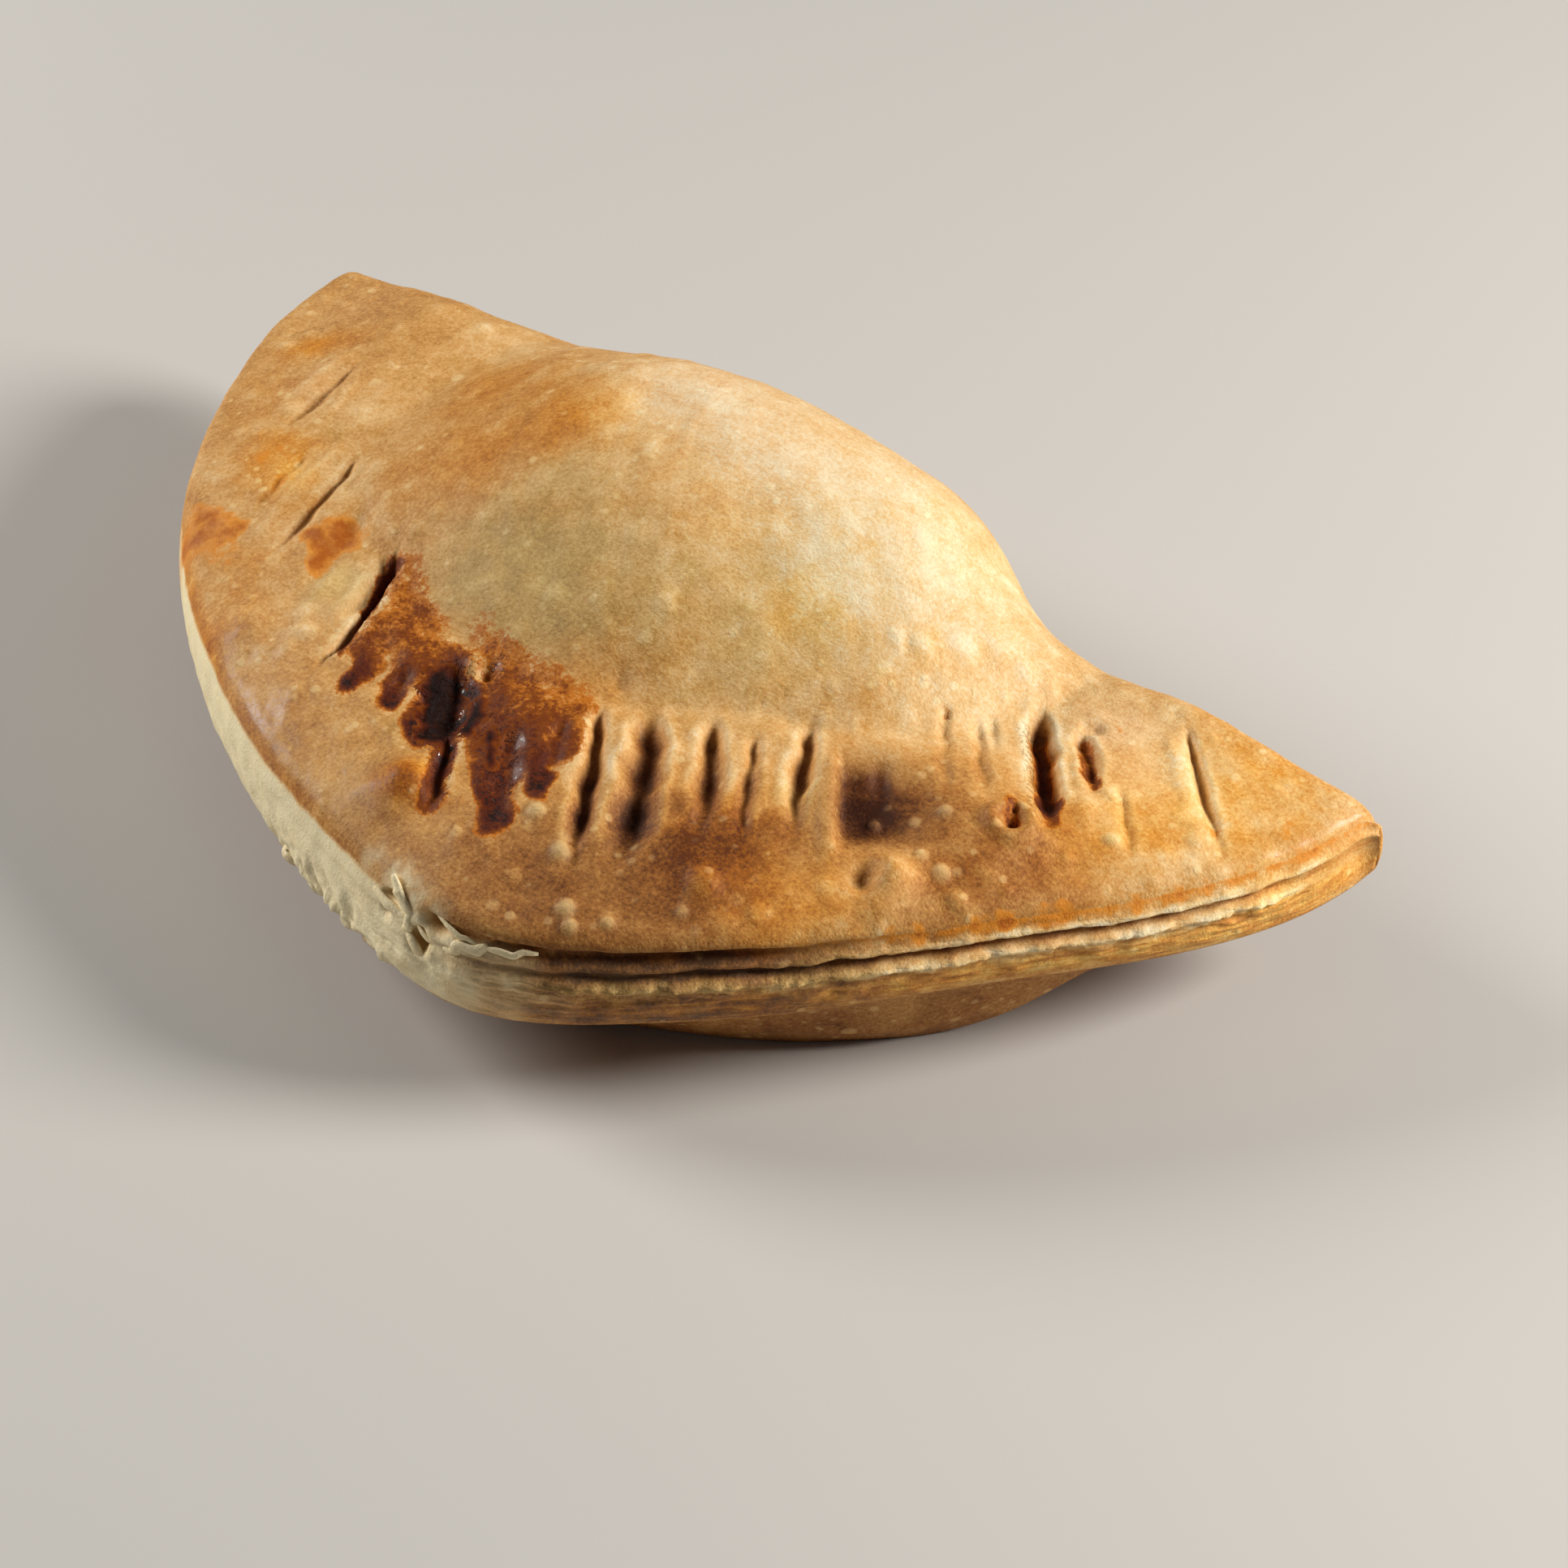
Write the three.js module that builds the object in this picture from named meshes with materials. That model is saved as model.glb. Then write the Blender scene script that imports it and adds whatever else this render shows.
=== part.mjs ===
// A baked half-moon empanada: one round of dough folded over its filling and pressed shut with a
// fork. The folded dough is one solid, lying on the flat patch under its filling, with the folded
// edge along +Y, the curved edge along -Y and the two tips on X. Millimetres, +Z up.
//
// Plan positions below are measured from the middle of the straight fold, which is the centre of
// the round of dough. The finished solid is then moved so that its origin is the middle of the
// bounding box, on the ground.
import * as THREE from 'three';

// The folded round. Along the rim, angles run from 180 at the left tip past 270 at the front to
// 360 at the right tip, and a hand-folded edge strays from the round at a few of them.
const DISC_RADIUS = 70;
const RIM_STRAYS = [
  { angle: 238, spread: 30, reach: -3.5 },
  { angle: 325, spread: 28, reach: -6.5 },
  { angle: 282, spread: 12, reach: 3.2 },
  { angle: 189, spread: 7, reach: 1.2 },
];
const FOLD_BULGE = { reach: 7.7, leftFrom: -70, leftTo: -20, rightFrom: 11, rightTo: 32 };
const FOLD_STRAYS = [
  { x: -38, spread: 9, reach: 1.2 },
  { x: 16, spread: 8, reach: 0.5 },
];
const FOLD_HALF_LENGTH = 70.8;
const TIP_ROUNDING = 0.007;
const SMOOTHING_STEPS = 4;

// Heights above the ground, and thicknesses. Two puffed sheets lie on each other at the edge.
const HEIGHT = 38;
const EDGE_UNDERSIDE = 10;
const RAISED_EDGE = { x: 50, y: -39, radius: 33, height: 0.9 };
const EDGE_THICKNESS = 9.8;
const THICK_EDGE = { x: -23, y: -63, radius: 40, height: 0.4 };
const THIN_EDGE = { x: 65, y: -17, radius: 28, height: -0.5 };
const FLANGE_RISE = 5.2;
const FLANGE_WIDTH = 24;
const FLAT_RIGHT_TIP = { drop: 3.2, fromX: 18, toX: 38, fromY: -34, toY: -8 };
const FLAT_LEFT_TIP = { drop: 3.2, fromX: -52, toX: -70 };
const TIP_PUFF = { radius: 8, height: 0.6 };
const LIP_DROP = 1;
const LIP_WIDTH = 1.6;
const ROUND_TIP = { x: DISC_RADIUS, y: 0, radius: 8, height: 1, drop: 0.6, width: 2.6, flatness: 0.7 };
const RIGHT_TIP_RISE = { x: DISC_RADIUS, y: 0, radius: 7, height: 1.2 };
const WALL_BULGE = 0.9;

// The dome over the filling, and how its reach changes with the bearing from its centre
const DOME_CENTRE = { x: -2, y: -10 };
const DOME_REACH = 40;
const DOME_STRAYS = [
  { angle: 270, spread: 50, reach: -5.0 },
  { angle: 308, spread: 22, reach: -5.0 },
  { angle: 213, spread: 20, reach: 3.5 },
  { angle: 30, spread: 25, reach: -1.2 },
];
const DOME_ROUNDNESS = 2.1;
const DOME_FOOT = 1.25;

// The filling's stretch along the fold, where the fold is thick and round
const FILLED = { leftFrom: -66, leftTo: -25, rightFrom: 22, rightTo: 48 };
const THIN_FOLD_RADIUS = 2.6;
const FOLD_TOP = { radius: 17, thin: 0.84, filled: 0.6 };
const FOLD_UNDERSIDE = { radius: 11, thin: 0.28, filled: 0.4 };

// The flat patch that it lies on ends this far inside the rim, and less far at the front right
const BELLY_MARGIN = 20.4;
const BELLY_OUTSET = { angle: 327, spread: 44, reach: -15 };
const EDGE_OVERHANG = 0.5;
const BASE_MIDDLE = 2;
const BASE_HALF_LENGTH = 40;
const TIP_CLEARANCE = 63;

// Pressed marks: each from a start on the dome's foot to an end towards the rim, with its half
// width, its depth and how far its middle bends to one side
const MARK_START = [-0.06, 0.3];
const MARK_END = [0.55, 1.08];
const MARK_STEEPNESS = 2;
const MARK_NARROWEST = 0.6;
const MARK_VALLEY = { share: 0.32, widening: 2.4 };
const MARKS = [
  { x: -52.4, y: -17.6, endX: -51.0, endY: -30.1, half: 0.8, depth: 0.7, bend: 0.2 },
  { x: -40.0, y: -29.4, endX: -36.4, endY: -46.2, half: 0.8, depth: 1.3, bend: 0.2 },
  { x: -25.4, y: -38.5, endX: -20.3, endY: -54.6, half: 1.0, depth: 2.3, bend: 0.5 },
  { x: -27.9, y: -41.5, endX: -24.9, endY: -51.8, half: 0.8, depth: 0.8, bend: 0.2 },
  { x: -14.0, y: -49.0, endX: -15.4, endY: -55.4, half: 1.0, depth: 0.6, bend: 0.0 },
  { x: -12.0, y: -50.4, endX: -10.6, endY: -55.9, half: 1.0, depth: 0.7, bend: 0.0 },
  { x: -9.0, y: -46.8, endX: -1.8, endY: -55.9, half: 1.2, depth: 1.5, bend: 0.6 },
  { x: -2.5, y: -54.5, endX: 3.2, endY: -63.6, half: 0.8, depth: 1.2, bend: 0.0 },
  { x: 2.7, y: -51.0, endX: 9.8, endY: -61.4, half: 1.2, depth: 0.9, bend: 0.0 },
  { x: 5.3, y: -46.8, endX: 10.6, endY: -55.8, half: 0.8, depth: 0.7, bend: 0.0 },
  { x: 6.9, y: -43.3, endX: 18.8, endY: -60.8, half: 0.8, depth: 1.8, bend: 0.3 },
  { x: 10.9, y: -40.6, endX: 22.6, endY: -58.6, half: 1.4, depth: 2.4, bend: 0.75 },
  { x: 16.4, y: -37.4, endX: 26.0, endY: -50.4, half: 1.0, depth: 1.6, bend: 0.2 },
  { x: 21.0, y: -36.4, endX: 29.4, endY: -48.4, half: 0.8, depth: 1.1, bend: 0.0 },
  { x: 24.2, y: -31.8, endX: 32.6, endY: -44.8, half: 0.9, depth: 1.6, bend: -0.2 },
  { x: 32.4, y: -22.0, endX: 39.6, endY: -30.4, half: 0.8, depth: 0.5, bend: 0.0 },
  { x: 34.4, y: -19.4, endX: 43.3, endY: -28.8, half: 0.8, depth: 0.6, bend: 0.0 },
  { x: 36.8, y: -12.6, endX: 49.4, endY: -26.6, half: 1.0, depth: 2.7, bend: 0.0 },
  { x: 41.8, y: -12.2, endX: 49.4, endY: -19.6, half: 0.8, depth: 1.4, bend: 0.1 },
  { x: 48.9, y: -4.5, endX: 62.6, endY: -16.6, half: 0.8, depth: 1.1, bend: -0.2 },
];

// Two pits, each with a steep left side that levels out to the right: where its left side starts
// and which way that side runs, then distances across it from that side and along it
const PITS = [
  {
    x: 30,
    y: -33.7,
    angle: -50,
    depth: 2.5,
    steepSide: [-0.5, 0.8],
    softSide: [1.2, 9.0],
    start: [-2.5, 2.5],
    end: [7.5, 12.0],
  },
  {
    x: -9.6,
    y: -52.2,
    angle: -45,
    depth: 0.9,
    steepSide: [-0.3, 0.9],
    softSide: [1.5, 6.0],
    start: [-1.0, 1.0],
    end: [5.5, 8.0],
  },
];

// Broad swellings and hollows of the crust: centre, radius, and height or depth (negative)
const SWELLINGS = [
  { x: -1.0, y: -62.6, radius: 2.9, height: 1.9 },
  { x: -31, y: -55, radius: 4.4, height: 1.4 },
  { x: 42.5, y: -41.2, radius: 1.9, height: 1.6 },
  { x: 47, y: -29, radius: 3.0, height: 0.8 },
  { x: 21, y: -49, radius: 2.2, height: 0.5 },
  { x: 30, y: -54, radius: 2.4, height: 0.7 },
  { x: -6, y: -50, radius: 6.0, height: -0.9 },
  { x: 6, y: -40, radius: 2.6, height: -0.6 },
  { x: -13.5, y: -14, radius: 4.5, height: -0.7 },
];

// The open edge of the two sheets: places by angle around the rim and by share of the wall's
// height, counted from the crust down
const LIP_RECESS = { angle: 298, spread: 17, share: 0.1, half: 0.09, depth: 1.5 };
const SEAM = { angle: 318, spread: 36, share: 0.31, half: 0.07, depth: 1.2 };
const BURST = { angle: 278.5, spread: 1.7, share: 0.23, half: 0.11, depth: 2.2 };
const SPREAD_SHEET = { angle: 281, spread: 11, reach: 1.0 };
const TUCKED_SHEET = { angle: 320, spread: 18, reach: -0.9 };
const LOWER_SHEET_ROOT = 0.85;
const RAGGED = { angle: 267, spread: 11, reach: 0.7, teeth: [1.9, 3.1] };

// Grid of the solid: columns run from the fold to the rim, steered to lie along the marks
const RIM_SHARE = 0.62;
const COLUMNS = 150;
const COLUMN_STEERING = 1.9;
const TIP_MARGIN = 0.004;
const TOP_ROWS = 20;
const BASE_ROWS = 8;
const WALL_SHARES = [0.1, 0.2, 0.31, 0.42, 0.6, 0.82];
const FOLD_SHARES = [0.75, 0.5, 0.25];
const EDGE_CROWDING = 0.6;

const HALF_TURN = 180;
const DEGREE = Math.PI / HALF_TURN;
const FULL_TURN = 2 * HALF_TURN;
const NEARLY_ZERO = 1e-6;

function bell(x) {
  return Math.exp(-x * x);
}

function clamp01(x) {
  return Math.min(1, Math.max(0, x));
}

// 0 up to `low`, 1 from `high`, smooth between them
function blend(x, low, high) {
  const share = clamp01((x - low) / (high - low));
  return share * share * (3 - 2 * share);
}

// A quarter circle's rise, from 0 at the edge to 1 one radius further in
function roundRise(share) {
  return Math.sqrt(1 - (1 - clamp01(share)) ** 2);
}

// A parabola that is 1 halfway and 0 at both ends
function arch(share) {
  return 4 * share * (1 - share);
}

function bump(x, y, place) {
  return place.height * bell(Math.hypot(x - place.x, y - place.y) / place.radius);
}

function around(angle, feature) {
  return bell((angle - feature.angle) / feature.spread);
}

function strayed(radius, angle, strays) {
  return strays.reduce((reach, stray) => reach + stray.reach * around(angle, stray), radius);
}

function bearing(x, y) {
  const angle = Math.atan2(y, x) / DEGREE;
  return angle < 0 ? angle + FULL_TURN : angle;
}

function rimAngle(x, y) {
  return bearing(x, Math.min(y, -NEARLY_ZERO));
}

function rimRadius(angle) {
  return strayed(DISC_RADIUS, angle, RIM_STRAYS);
}

// The fold is pushed out by the filling and runs straight on to the right tip
function foldLine(x) {
  const rise = blend(x, FOLD_BULGE.leftFrom, FOLD_BULGE.leftTo);
  const fall = blend(x, FOLD_BULGE.rightFrom, FOLD_BULGE.rightTo);
  const bulge = FOLD_BULGE.reach * rise * (1 - fall);
  return FOLD_STRAYS.reduce((sum, stray) => sum + stray.reach * bell((x - stray.x) / stray.spread), bulge);
}

function sharpOutline(place) {
  const turn = place - Math.floor(place);
  if (turn < RIM_SHARE) {
    const angle = HALF_TURN * (1 + turn / RIM_SHARE);
    const radius = rimRadius(angle);
    return { x: radius * Math.cos(angle * DEGREE), y: radius * Math.sin(angle * DEGREE) };
  }
  const back = (turn - RIM_SHARE) / (1 - RIM_SHARE);
  const x = FOLD_HALF_LENGTH * (1 - 2 * back);
  return { x, y: foldLine(x) };
}

// The outline from the left tip along the rim, round the right tip and back along the fold: a
// weighted mean over a short window, which rounds the two tips
function outline(place) {
  const mean = { x: 0, y: 0 };
  let total = 0;
  for (let step = -SMOOTHING_STEPS; step <= SMOOTHING_STEPS; step += 1) {
    const offset = step / (SMOOTHING_STEPS + 1);
    const weight = Math.cos((offset * Math.PI) / 2) ** 2;
    const point = sharpOutline(place + offset * TIP_ROUNDING);
    mean.x += weight * point.x;
    mean.y += weight * point.y;
    total += weight;
  }
  return { x: mean.x / total, y: mean.y / total };
}

// A point of the outline, with the direction square to it and outwards
function outlineEdge(place) {
  const point = outline(place);
  const before = outline(place - TIP_ROUNDING / 2);
  const after = outline(place + TIP_ROUNDING / 2);
  const span = Math.hypot(after.x - before.x, after.y - before.y);
  return { ...point, outX: (after.y - before.y) / span, outY: (before.x - after.x) / span };
}

function fromRim(x, y) {
  return rimRadius(rimAngle(x, y)) - Math.hypot(x, Math.min(y, 0));
}

function fromFold(x, y) {
  return foldLine(x) - y;
}

// 1 over the filling along the fold, 0 on the flat tips
function filled(x) {
  const rise = blend(x, FILLED.leftFrom, FILLED.leftTo);
  return rise * (1 - blend(x, FILLED.rightFrom, FILLED.rightTo));
}

// Both faces stand out by this much at each tip, where the dough is folded up thick
function tipPuff(x, y) {
  return bump(Math.abs(x), y, { x: DISC_RADIUS, y: 0, ...TIP_PUFF });
}

function edgeUnderside(x, y) {
  return EDGE_UNDERSIDE + bump(x, y, RAISED_EDGE) - tipPuff(x, y);
}

function edgeThickness(x, y) {
  return EDGE_THICKNESS + bump(x, y, THICK_EDGE) + bump(x, y, THIN_EDGE) + 2 * tipPuff(x, y);
}

// Height on the fold, as a share of the edge's thickness that depends on how filled it is there
function foldHeight(x, y, side) {
  const share = side.thin + (side.filled - side.thin) * filled(x);
  return edgeUnderside(x, y) + edgeThickness(x, y) * share;
}

function foldRounding(x, y, side) {
  return roundRise(fromFold(x, y) / (THIN_FOLD_RADIUS + side.radius * filled(x)));
}

// 1 on top of the dome, 0 from its foot outwards
function domeRise(x, y) {
  const alongX = x - DOME_CENTRE.x;
  const alongY = y - DOME_CENTRE.y;
  const reach = strayed(DOME_REACH, bearing(alongX, alongY), DOME_STRAYS);
  const share = clamp01(Math.hypot(alongX, alongY) / reach);
  return (1 - share ** DOME_ROUNDNESS) ** DOME_FOOT;
}

// The sealed border climbs from the edge to the dome's foot, and least along the two tips
function flangeHeight(x, y) {
  const right = FLAT_RIGHT_TIP;
  const rightDrop = right.drop * blend(x, right.fromX, right.toX) * blend(y, right.fromY, right.toY);
  const leftDrop = FLAT_LEFT_TIP.drop * blend(x, FLAT_LEFT_TIP.fromX, FLAT_LEFT_TIP.toX);
  const outward = 1 - clamp01(fromRim(x, y) / FLANGE_WIDTH);
  const rise = (FLANGE_RISE - rightDrop - leftDrop) * (1 - outward * outward);
  return edgeUnderside(x, y) + edgeThickness(x, y) + rise;
}

// Depth of one pressed mark, a crease in a shallow valley: narrow where it starts, deepest halfway,
// fading towards the rim
function markDepth(x, y, mark) {
  const length = Math.hypot(mark.endX - mark.x, mark.endY - mark.y);
  const alongX = (mark.endX - mark.x) / length;
  const alongY = (mark.endY - mark.y) / length;
  const share = ((x - mark.x) * alongX + (y - mark.y) * alongY) / length;
  const middle = arch(clamp01(share));
  const across = (x - mark.x) * alongY - (y - mark.y) * alongX + mark.bend * middle;
  const half = mark.half * (MARK_NARROWEST + (1 - MARK_NARROWEST) * middle);
  const run = blend(share, ...MARK_START) * (1 - blend(share, ...MARK_END));
  const crease = Math.exp(-(Math.abs(across / half) ** MARK_STEEPNESS));
  const valley = bell(across / (half * MARK_VALLEY.widening));
  return mark.depth * run * (crease + (valley - crease) * MARK_VALLEY.share);
}

function pitDepth(x, y, pit) {
  const alongX = Math.cos(pit.angle * DEGREE);
  const alongY = Math.sin(pit.angle * DEGREE);
  const along = (x - pit.x) * alongX + (y - pit.y) * alongY;
  const across = (y - pit.y) * alongX - (x - pit.x) * alongY;
  const sides = blend(across, ...pit.steepSide) * (1 - blend(across, ...pit.softSide));
  return pit.depth * sides * blend(along, ...pit.start) * (1 - blend(along, ...pit.end));
}

function relief(x, y) {
  const sunk = PITS.reduce((depth, pit) => depth + pitDepth(x, y, pit), 0);
  const pressed = MARKS.reduce((depth, mark) => depth + markDepth(x, y, mark), sunk);
  const raised = SWELLINGS.reduce((height, swelling) => height + bump(x, y, swelling), 0);
  return raised - pressed;
}

function topHeight(x, y) {
  const flange = flangeHeight(x, y);
  const open = flange + (HEIGHT - flange) * domeRise(x, y) + relief(x, y);
  const foldTop = foldHeight(x, y, FOLD_TOP);
  const atTip = bump(x, y, ROUND_TIP);
  const lipRise = roundRise(fromRim(x, y) / (LIP_WIDTH + ROUND_TIP.width * atTip));
  const lip = (LIP_DROP + ROUND_TIP.drop * atTip) * (1 - lipRise);
  return foldTop + (open - foldTop) * foldRounding(x, y, FOLD_TOP) - lip;
}

// Flat on the ground under the filling, and rising to the underside of the sealed edge
function bottomHeight(x, y) {
  const margin = BELLY_MARGIN + BELLY_OUTSET.reach * around(rimAngle(x, y), BELLY_OUTSET);
  const overBase = blend(fromRim(x, y), EDGE_OVERHANG, margin);
  const overTips = blend(Math.abs(x - BASE_MIDDLE), BASE_HALF_LENGTH, TIP_CLEARANCE);
  const open = edgeUnderside(x, y) * (1 - overBase * (1 - overTips));
  const foldBottom = foldHeight(x, y, FOLD_UNDERSIDE);
  const rise = bump(x, y, RIGHT_TIP_RISE);
  return foldBottom + (open - foldBottom) * foldRounding(x, y, FOLD_UNDERSIDE) + rise;
}

function slot(angle, share, feature) {
  return feature.depth * around(angle, feature) * bell((share - feature.share) / feature.half);
}

// The soft bulge of the sides, flatter round the right tip
function wallBulge(edge, share) {
  return WALL_BULGE * (1 - ROUND_TIP.flatness * bump(edge.x, edge.y, ROUND_TIP)) * arch(share);
}

// How far the rim's wall stands out from the outline, at a share of its height
function wallReach(rim, angle, share) {
  const round = wallBulge(rim, share);
  const sunk = slot(angle, share, LIP_RECESS) + slot(angle, share, SEAM) + slot(angle, share, BURST);
  const spread = SPREAD_SHEET.reach * around(angle, SPREAD_SHEET);
  const tucked = TUCKED_SHEET.reach * around(angle, TUCKED_SHEET);
  const teeth = RAGGED.teeth.reduce((sum, pitch) => sum + Math.sin(angle * pitch), 0);
  const ragged = RAGGED.reach * around(angle, RAGGED) * teeth;
  return round - sunk + (spread + tucked + ragged) * share;
}

// Shares from 0 to 1 that crowd towards both ends
function crowded(step, steps) {
  const share = step / steps;
  return share + EDGE_CROWDING * ((1 - Math.cos(share * Math.PI)) / 2 - share);
}

function between(start, end, share) {
  return { x: start.x + (end.x - start.x) * share, y: start.y + (end.y - start.y) * share };
}

// A wall point square to the outline, at a share of the height from the top to the bottom edge
function wallPoint(edge, reach, share) {
  const top = topHeight(edge.x, edge.y);
  const bottom = bottomHeight(edge.x, edge.y);
  return [edge.x + edge.outX * reach, edge.y + edge.outY * reach, top + (bottom - top) * share];
}

// One ring of the solid: over the top from the fold to the rim, down the rim's wall, back under
// the base to the fold and up the fold
function ring(share) {
  const rim = outlineEdge(RIM_SHARE * share);
  const fold = outlineEdge(1 - (1 - RIM_SHARE) * share ** COLUMN_STEERING);
  const angle = rimAngle(rim.x, rim.y);
  const points = [];
  for (let row = 0; row <= TOP_ROWS; row += 1) {
    const { x, y } = between(fold, rim, crowded(row, TOP_ROWS));
    points.push([x, y, topHeight(x, y)]);
  }
  for (const height of WALL_SHARES) {
    points.push(wallPoint(rim, wallReach(rim, angle, height), height));
  }
  for (let row = BASE_ROWS; row >= 0; row -= 1) {
    const place = crowded(row, BASE_ROWS);
    const { x, y } = between(fold, rim, place);
    const reach = wallReach(rim, angle, 1) * blend(place, LOWER_SHEET_ROOT, 1);
    points.push([x + rim.outX * reach, y + rim.outY * reach, bottomHeight(x, y)]);
  }
  for (const height of FOLD_SHARES) {
    points.push(wallPoint(fold, wallBulge(fold, height) * (1 - filled(fold.x)), height));
  }
  return points;
}

function middleOf(points) {
  const sum = points.reduce((total, point) => total.map((value, axis) => value + point[axis]), [0, 0, 0]);
  return sum.map((value) => value / points.length);
}

// Rings joined into one closed skin, with a small fan over the end ring at each tip
function pastryGeometry() {
  const rings = [];
  for (let column = 0; column <= COLUMNS; column += 1) {
    rings.push(ring(TIP_MARGIN + (1 - 2 * TIP_MARGIN) * (column / COLUMNS)));
  }
  const rows = rings[0].length;
  const vertices = rings.flat();
  const leftTip = vertices.push(middleOf(rings[0])) - 1;
  const rightTip = vertices.push(middleOf(rings[COLUMNS])) - 1;
  const faces = [];
  for (let row = 0; row < rows; row += 1) {
    const nextRow = (row + 1) % rows;
    for (let column = 0; column < COLUMNS; column += 1) {
      const here = column * rows;
      const next = here + rows;
      faces.push(here + row, here + nextRow, next + nextRow);
      faces.push(here + row, next + nextRow, next + row);
    }
    faces.push(leftTip, nextRow, row);
    faces.push(rightTip, COLUMNS * rows + row, COLUMNS * rows + nextRow);
  }
  const geometry = new THREE.BufferGeometry();
  geometry.setAttribute('position', new THREE.Float32BufferAttribute(vertices.flat(), 3));
  geometry.setIndex(faces);
  geometry.computeVertexNormals();
  return geometry;
}

function centreOnGround(geometry) {
  geometry.computeBoundingBox();
  const middle = geometry.boundingBox.getCenter(new THREE.Vector3());
  geometry.translate(-middle.x, -middle.y, -geometry.boundingBox.min.z);
  return geometry;
}

const crust = new THREE.MeshStandardMaterial({ color: 0xc99a5e, roughness: 0.62, metalness: 0 });
const pastry = new THREE.Mesh(centreOnGround(pastryGeometry()), crust);
pastry.name = 'pastry';

const empanada = new THREE.Group();
empanada.add(pastry);

export default empanada;
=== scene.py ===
import math
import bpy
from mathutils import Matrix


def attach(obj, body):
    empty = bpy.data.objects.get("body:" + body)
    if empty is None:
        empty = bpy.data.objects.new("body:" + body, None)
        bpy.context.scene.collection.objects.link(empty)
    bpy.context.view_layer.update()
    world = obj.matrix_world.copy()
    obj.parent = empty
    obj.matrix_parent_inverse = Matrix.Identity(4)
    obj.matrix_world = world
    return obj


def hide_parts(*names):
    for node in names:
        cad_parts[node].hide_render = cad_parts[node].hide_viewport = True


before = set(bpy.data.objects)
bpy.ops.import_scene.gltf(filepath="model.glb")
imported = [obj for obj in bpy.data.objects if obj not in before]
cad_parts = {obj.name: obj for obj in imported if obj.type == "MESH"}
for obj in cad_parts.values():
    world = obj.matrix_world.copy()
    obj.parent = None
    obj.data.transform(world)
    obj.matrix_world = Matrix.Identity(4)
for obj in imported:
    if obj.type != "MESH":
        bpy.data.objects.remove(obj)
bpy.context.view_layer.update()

from types import SimpleNamespace

import bpy
import numpy as np
from mathutils import Vector

# A baked half-moon empanada: one round of dough folded over its filling and pressed shut.
# Lengths are millimetres. Plan places are measured from the middle of the straight fold, with the
# tips on x and the curved rim towards -y, and rim angles run from 180 at the left tip past 270 at
# the front to 360 at the right tip. PLAN_ORIGIN is that middle's place in the frame.
MM = 0.001
PLAN_ORIGIN = (0.8428, 32.4135)

# ---- The folded round, with the same values as the solid and more smoothing steps ----
DISC_RADIUS = 70
RIM_STRAYS = [(238, 30, -3.5), (325, 28, -6.5), (282, 12, 3.2), (189, 7, 1.2)]
FOLD_BULGE = SimpleNamespace(reach=7.7, left=(-70, -20), right=(11, 32))
FOLD_STRAYS = [(-38, 9, 1.2), (16, 8, 0.5)]
FOLD_HALF_LENGTH = 70.8
TIP_ROUNDING = 0.007
SMOOTHING_STEPS = 40
RIM_SHARE = 0.62

HEIGHT = 38
EDGE_UNDERSIDE = 10
EDGE_THICKNESS = 9.8
RAISED_EDGE = (50, -39, 33, 0.9)
THICK_EDGE = (-23, -63, 40, 0.4)
THIN_EDGE = (65, -17, 28, -0.5)
TIP_PUFF = (DISC_RADIUS, 0, 8, 0.6)
FLANGE_RISE = 5.2
FLANGE_WIDTH = 24
FLAT_RIGHT_TIP = SimpleNamespace(drop=3.2, x=(18, 38), y=(-34, -8))
FLAT_LEFT_TIP = SimpleNamespace(drop=3.2, x=(-52, -70))
LIP_DROP = 1
LIP_WIDTH = 1.6
ROUND_TIP = SimpleNamespace(drop=0.6, width=2.6, flatness=0.7, place=(DISC_RADIUS, 0, 8, 1))
RIGHT_TIP_RISE = (DISC_RADIUS, 0, 7, 1.2)
WALL_BULGE = 0.9

DOME_CENTRE = (-2, -10)
DOME_REACH = 40
DOME_STRAYS = [(270, 50, -5.0), (308, 22, -5.0), (213, 20, 3.5), (30, 25, -1.2)]
DOME_ROUNDNESS = 2.1
DOME_FOOT = 1.25

FILLED = SimpleNamespace(left=(-66, -25), right=(22, 48))
THIN_FOLD_RADIUS = 2.6
FOLD_TOP = SimpleNamespace(radius=17, thin=0.84, filled=0.6)
FOLD_UNDERSIDE = SimpleNamespace(radius=11, thin=0.28, filled=0.4)

BELLY_MARGIN = 20.4
BELLY_OUTSET = (327, 44, -15)
EDGE_OVERHANG = 0.5
BASE_MIDDLE = 2
BASE_REACH = (40, 63)

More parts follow.
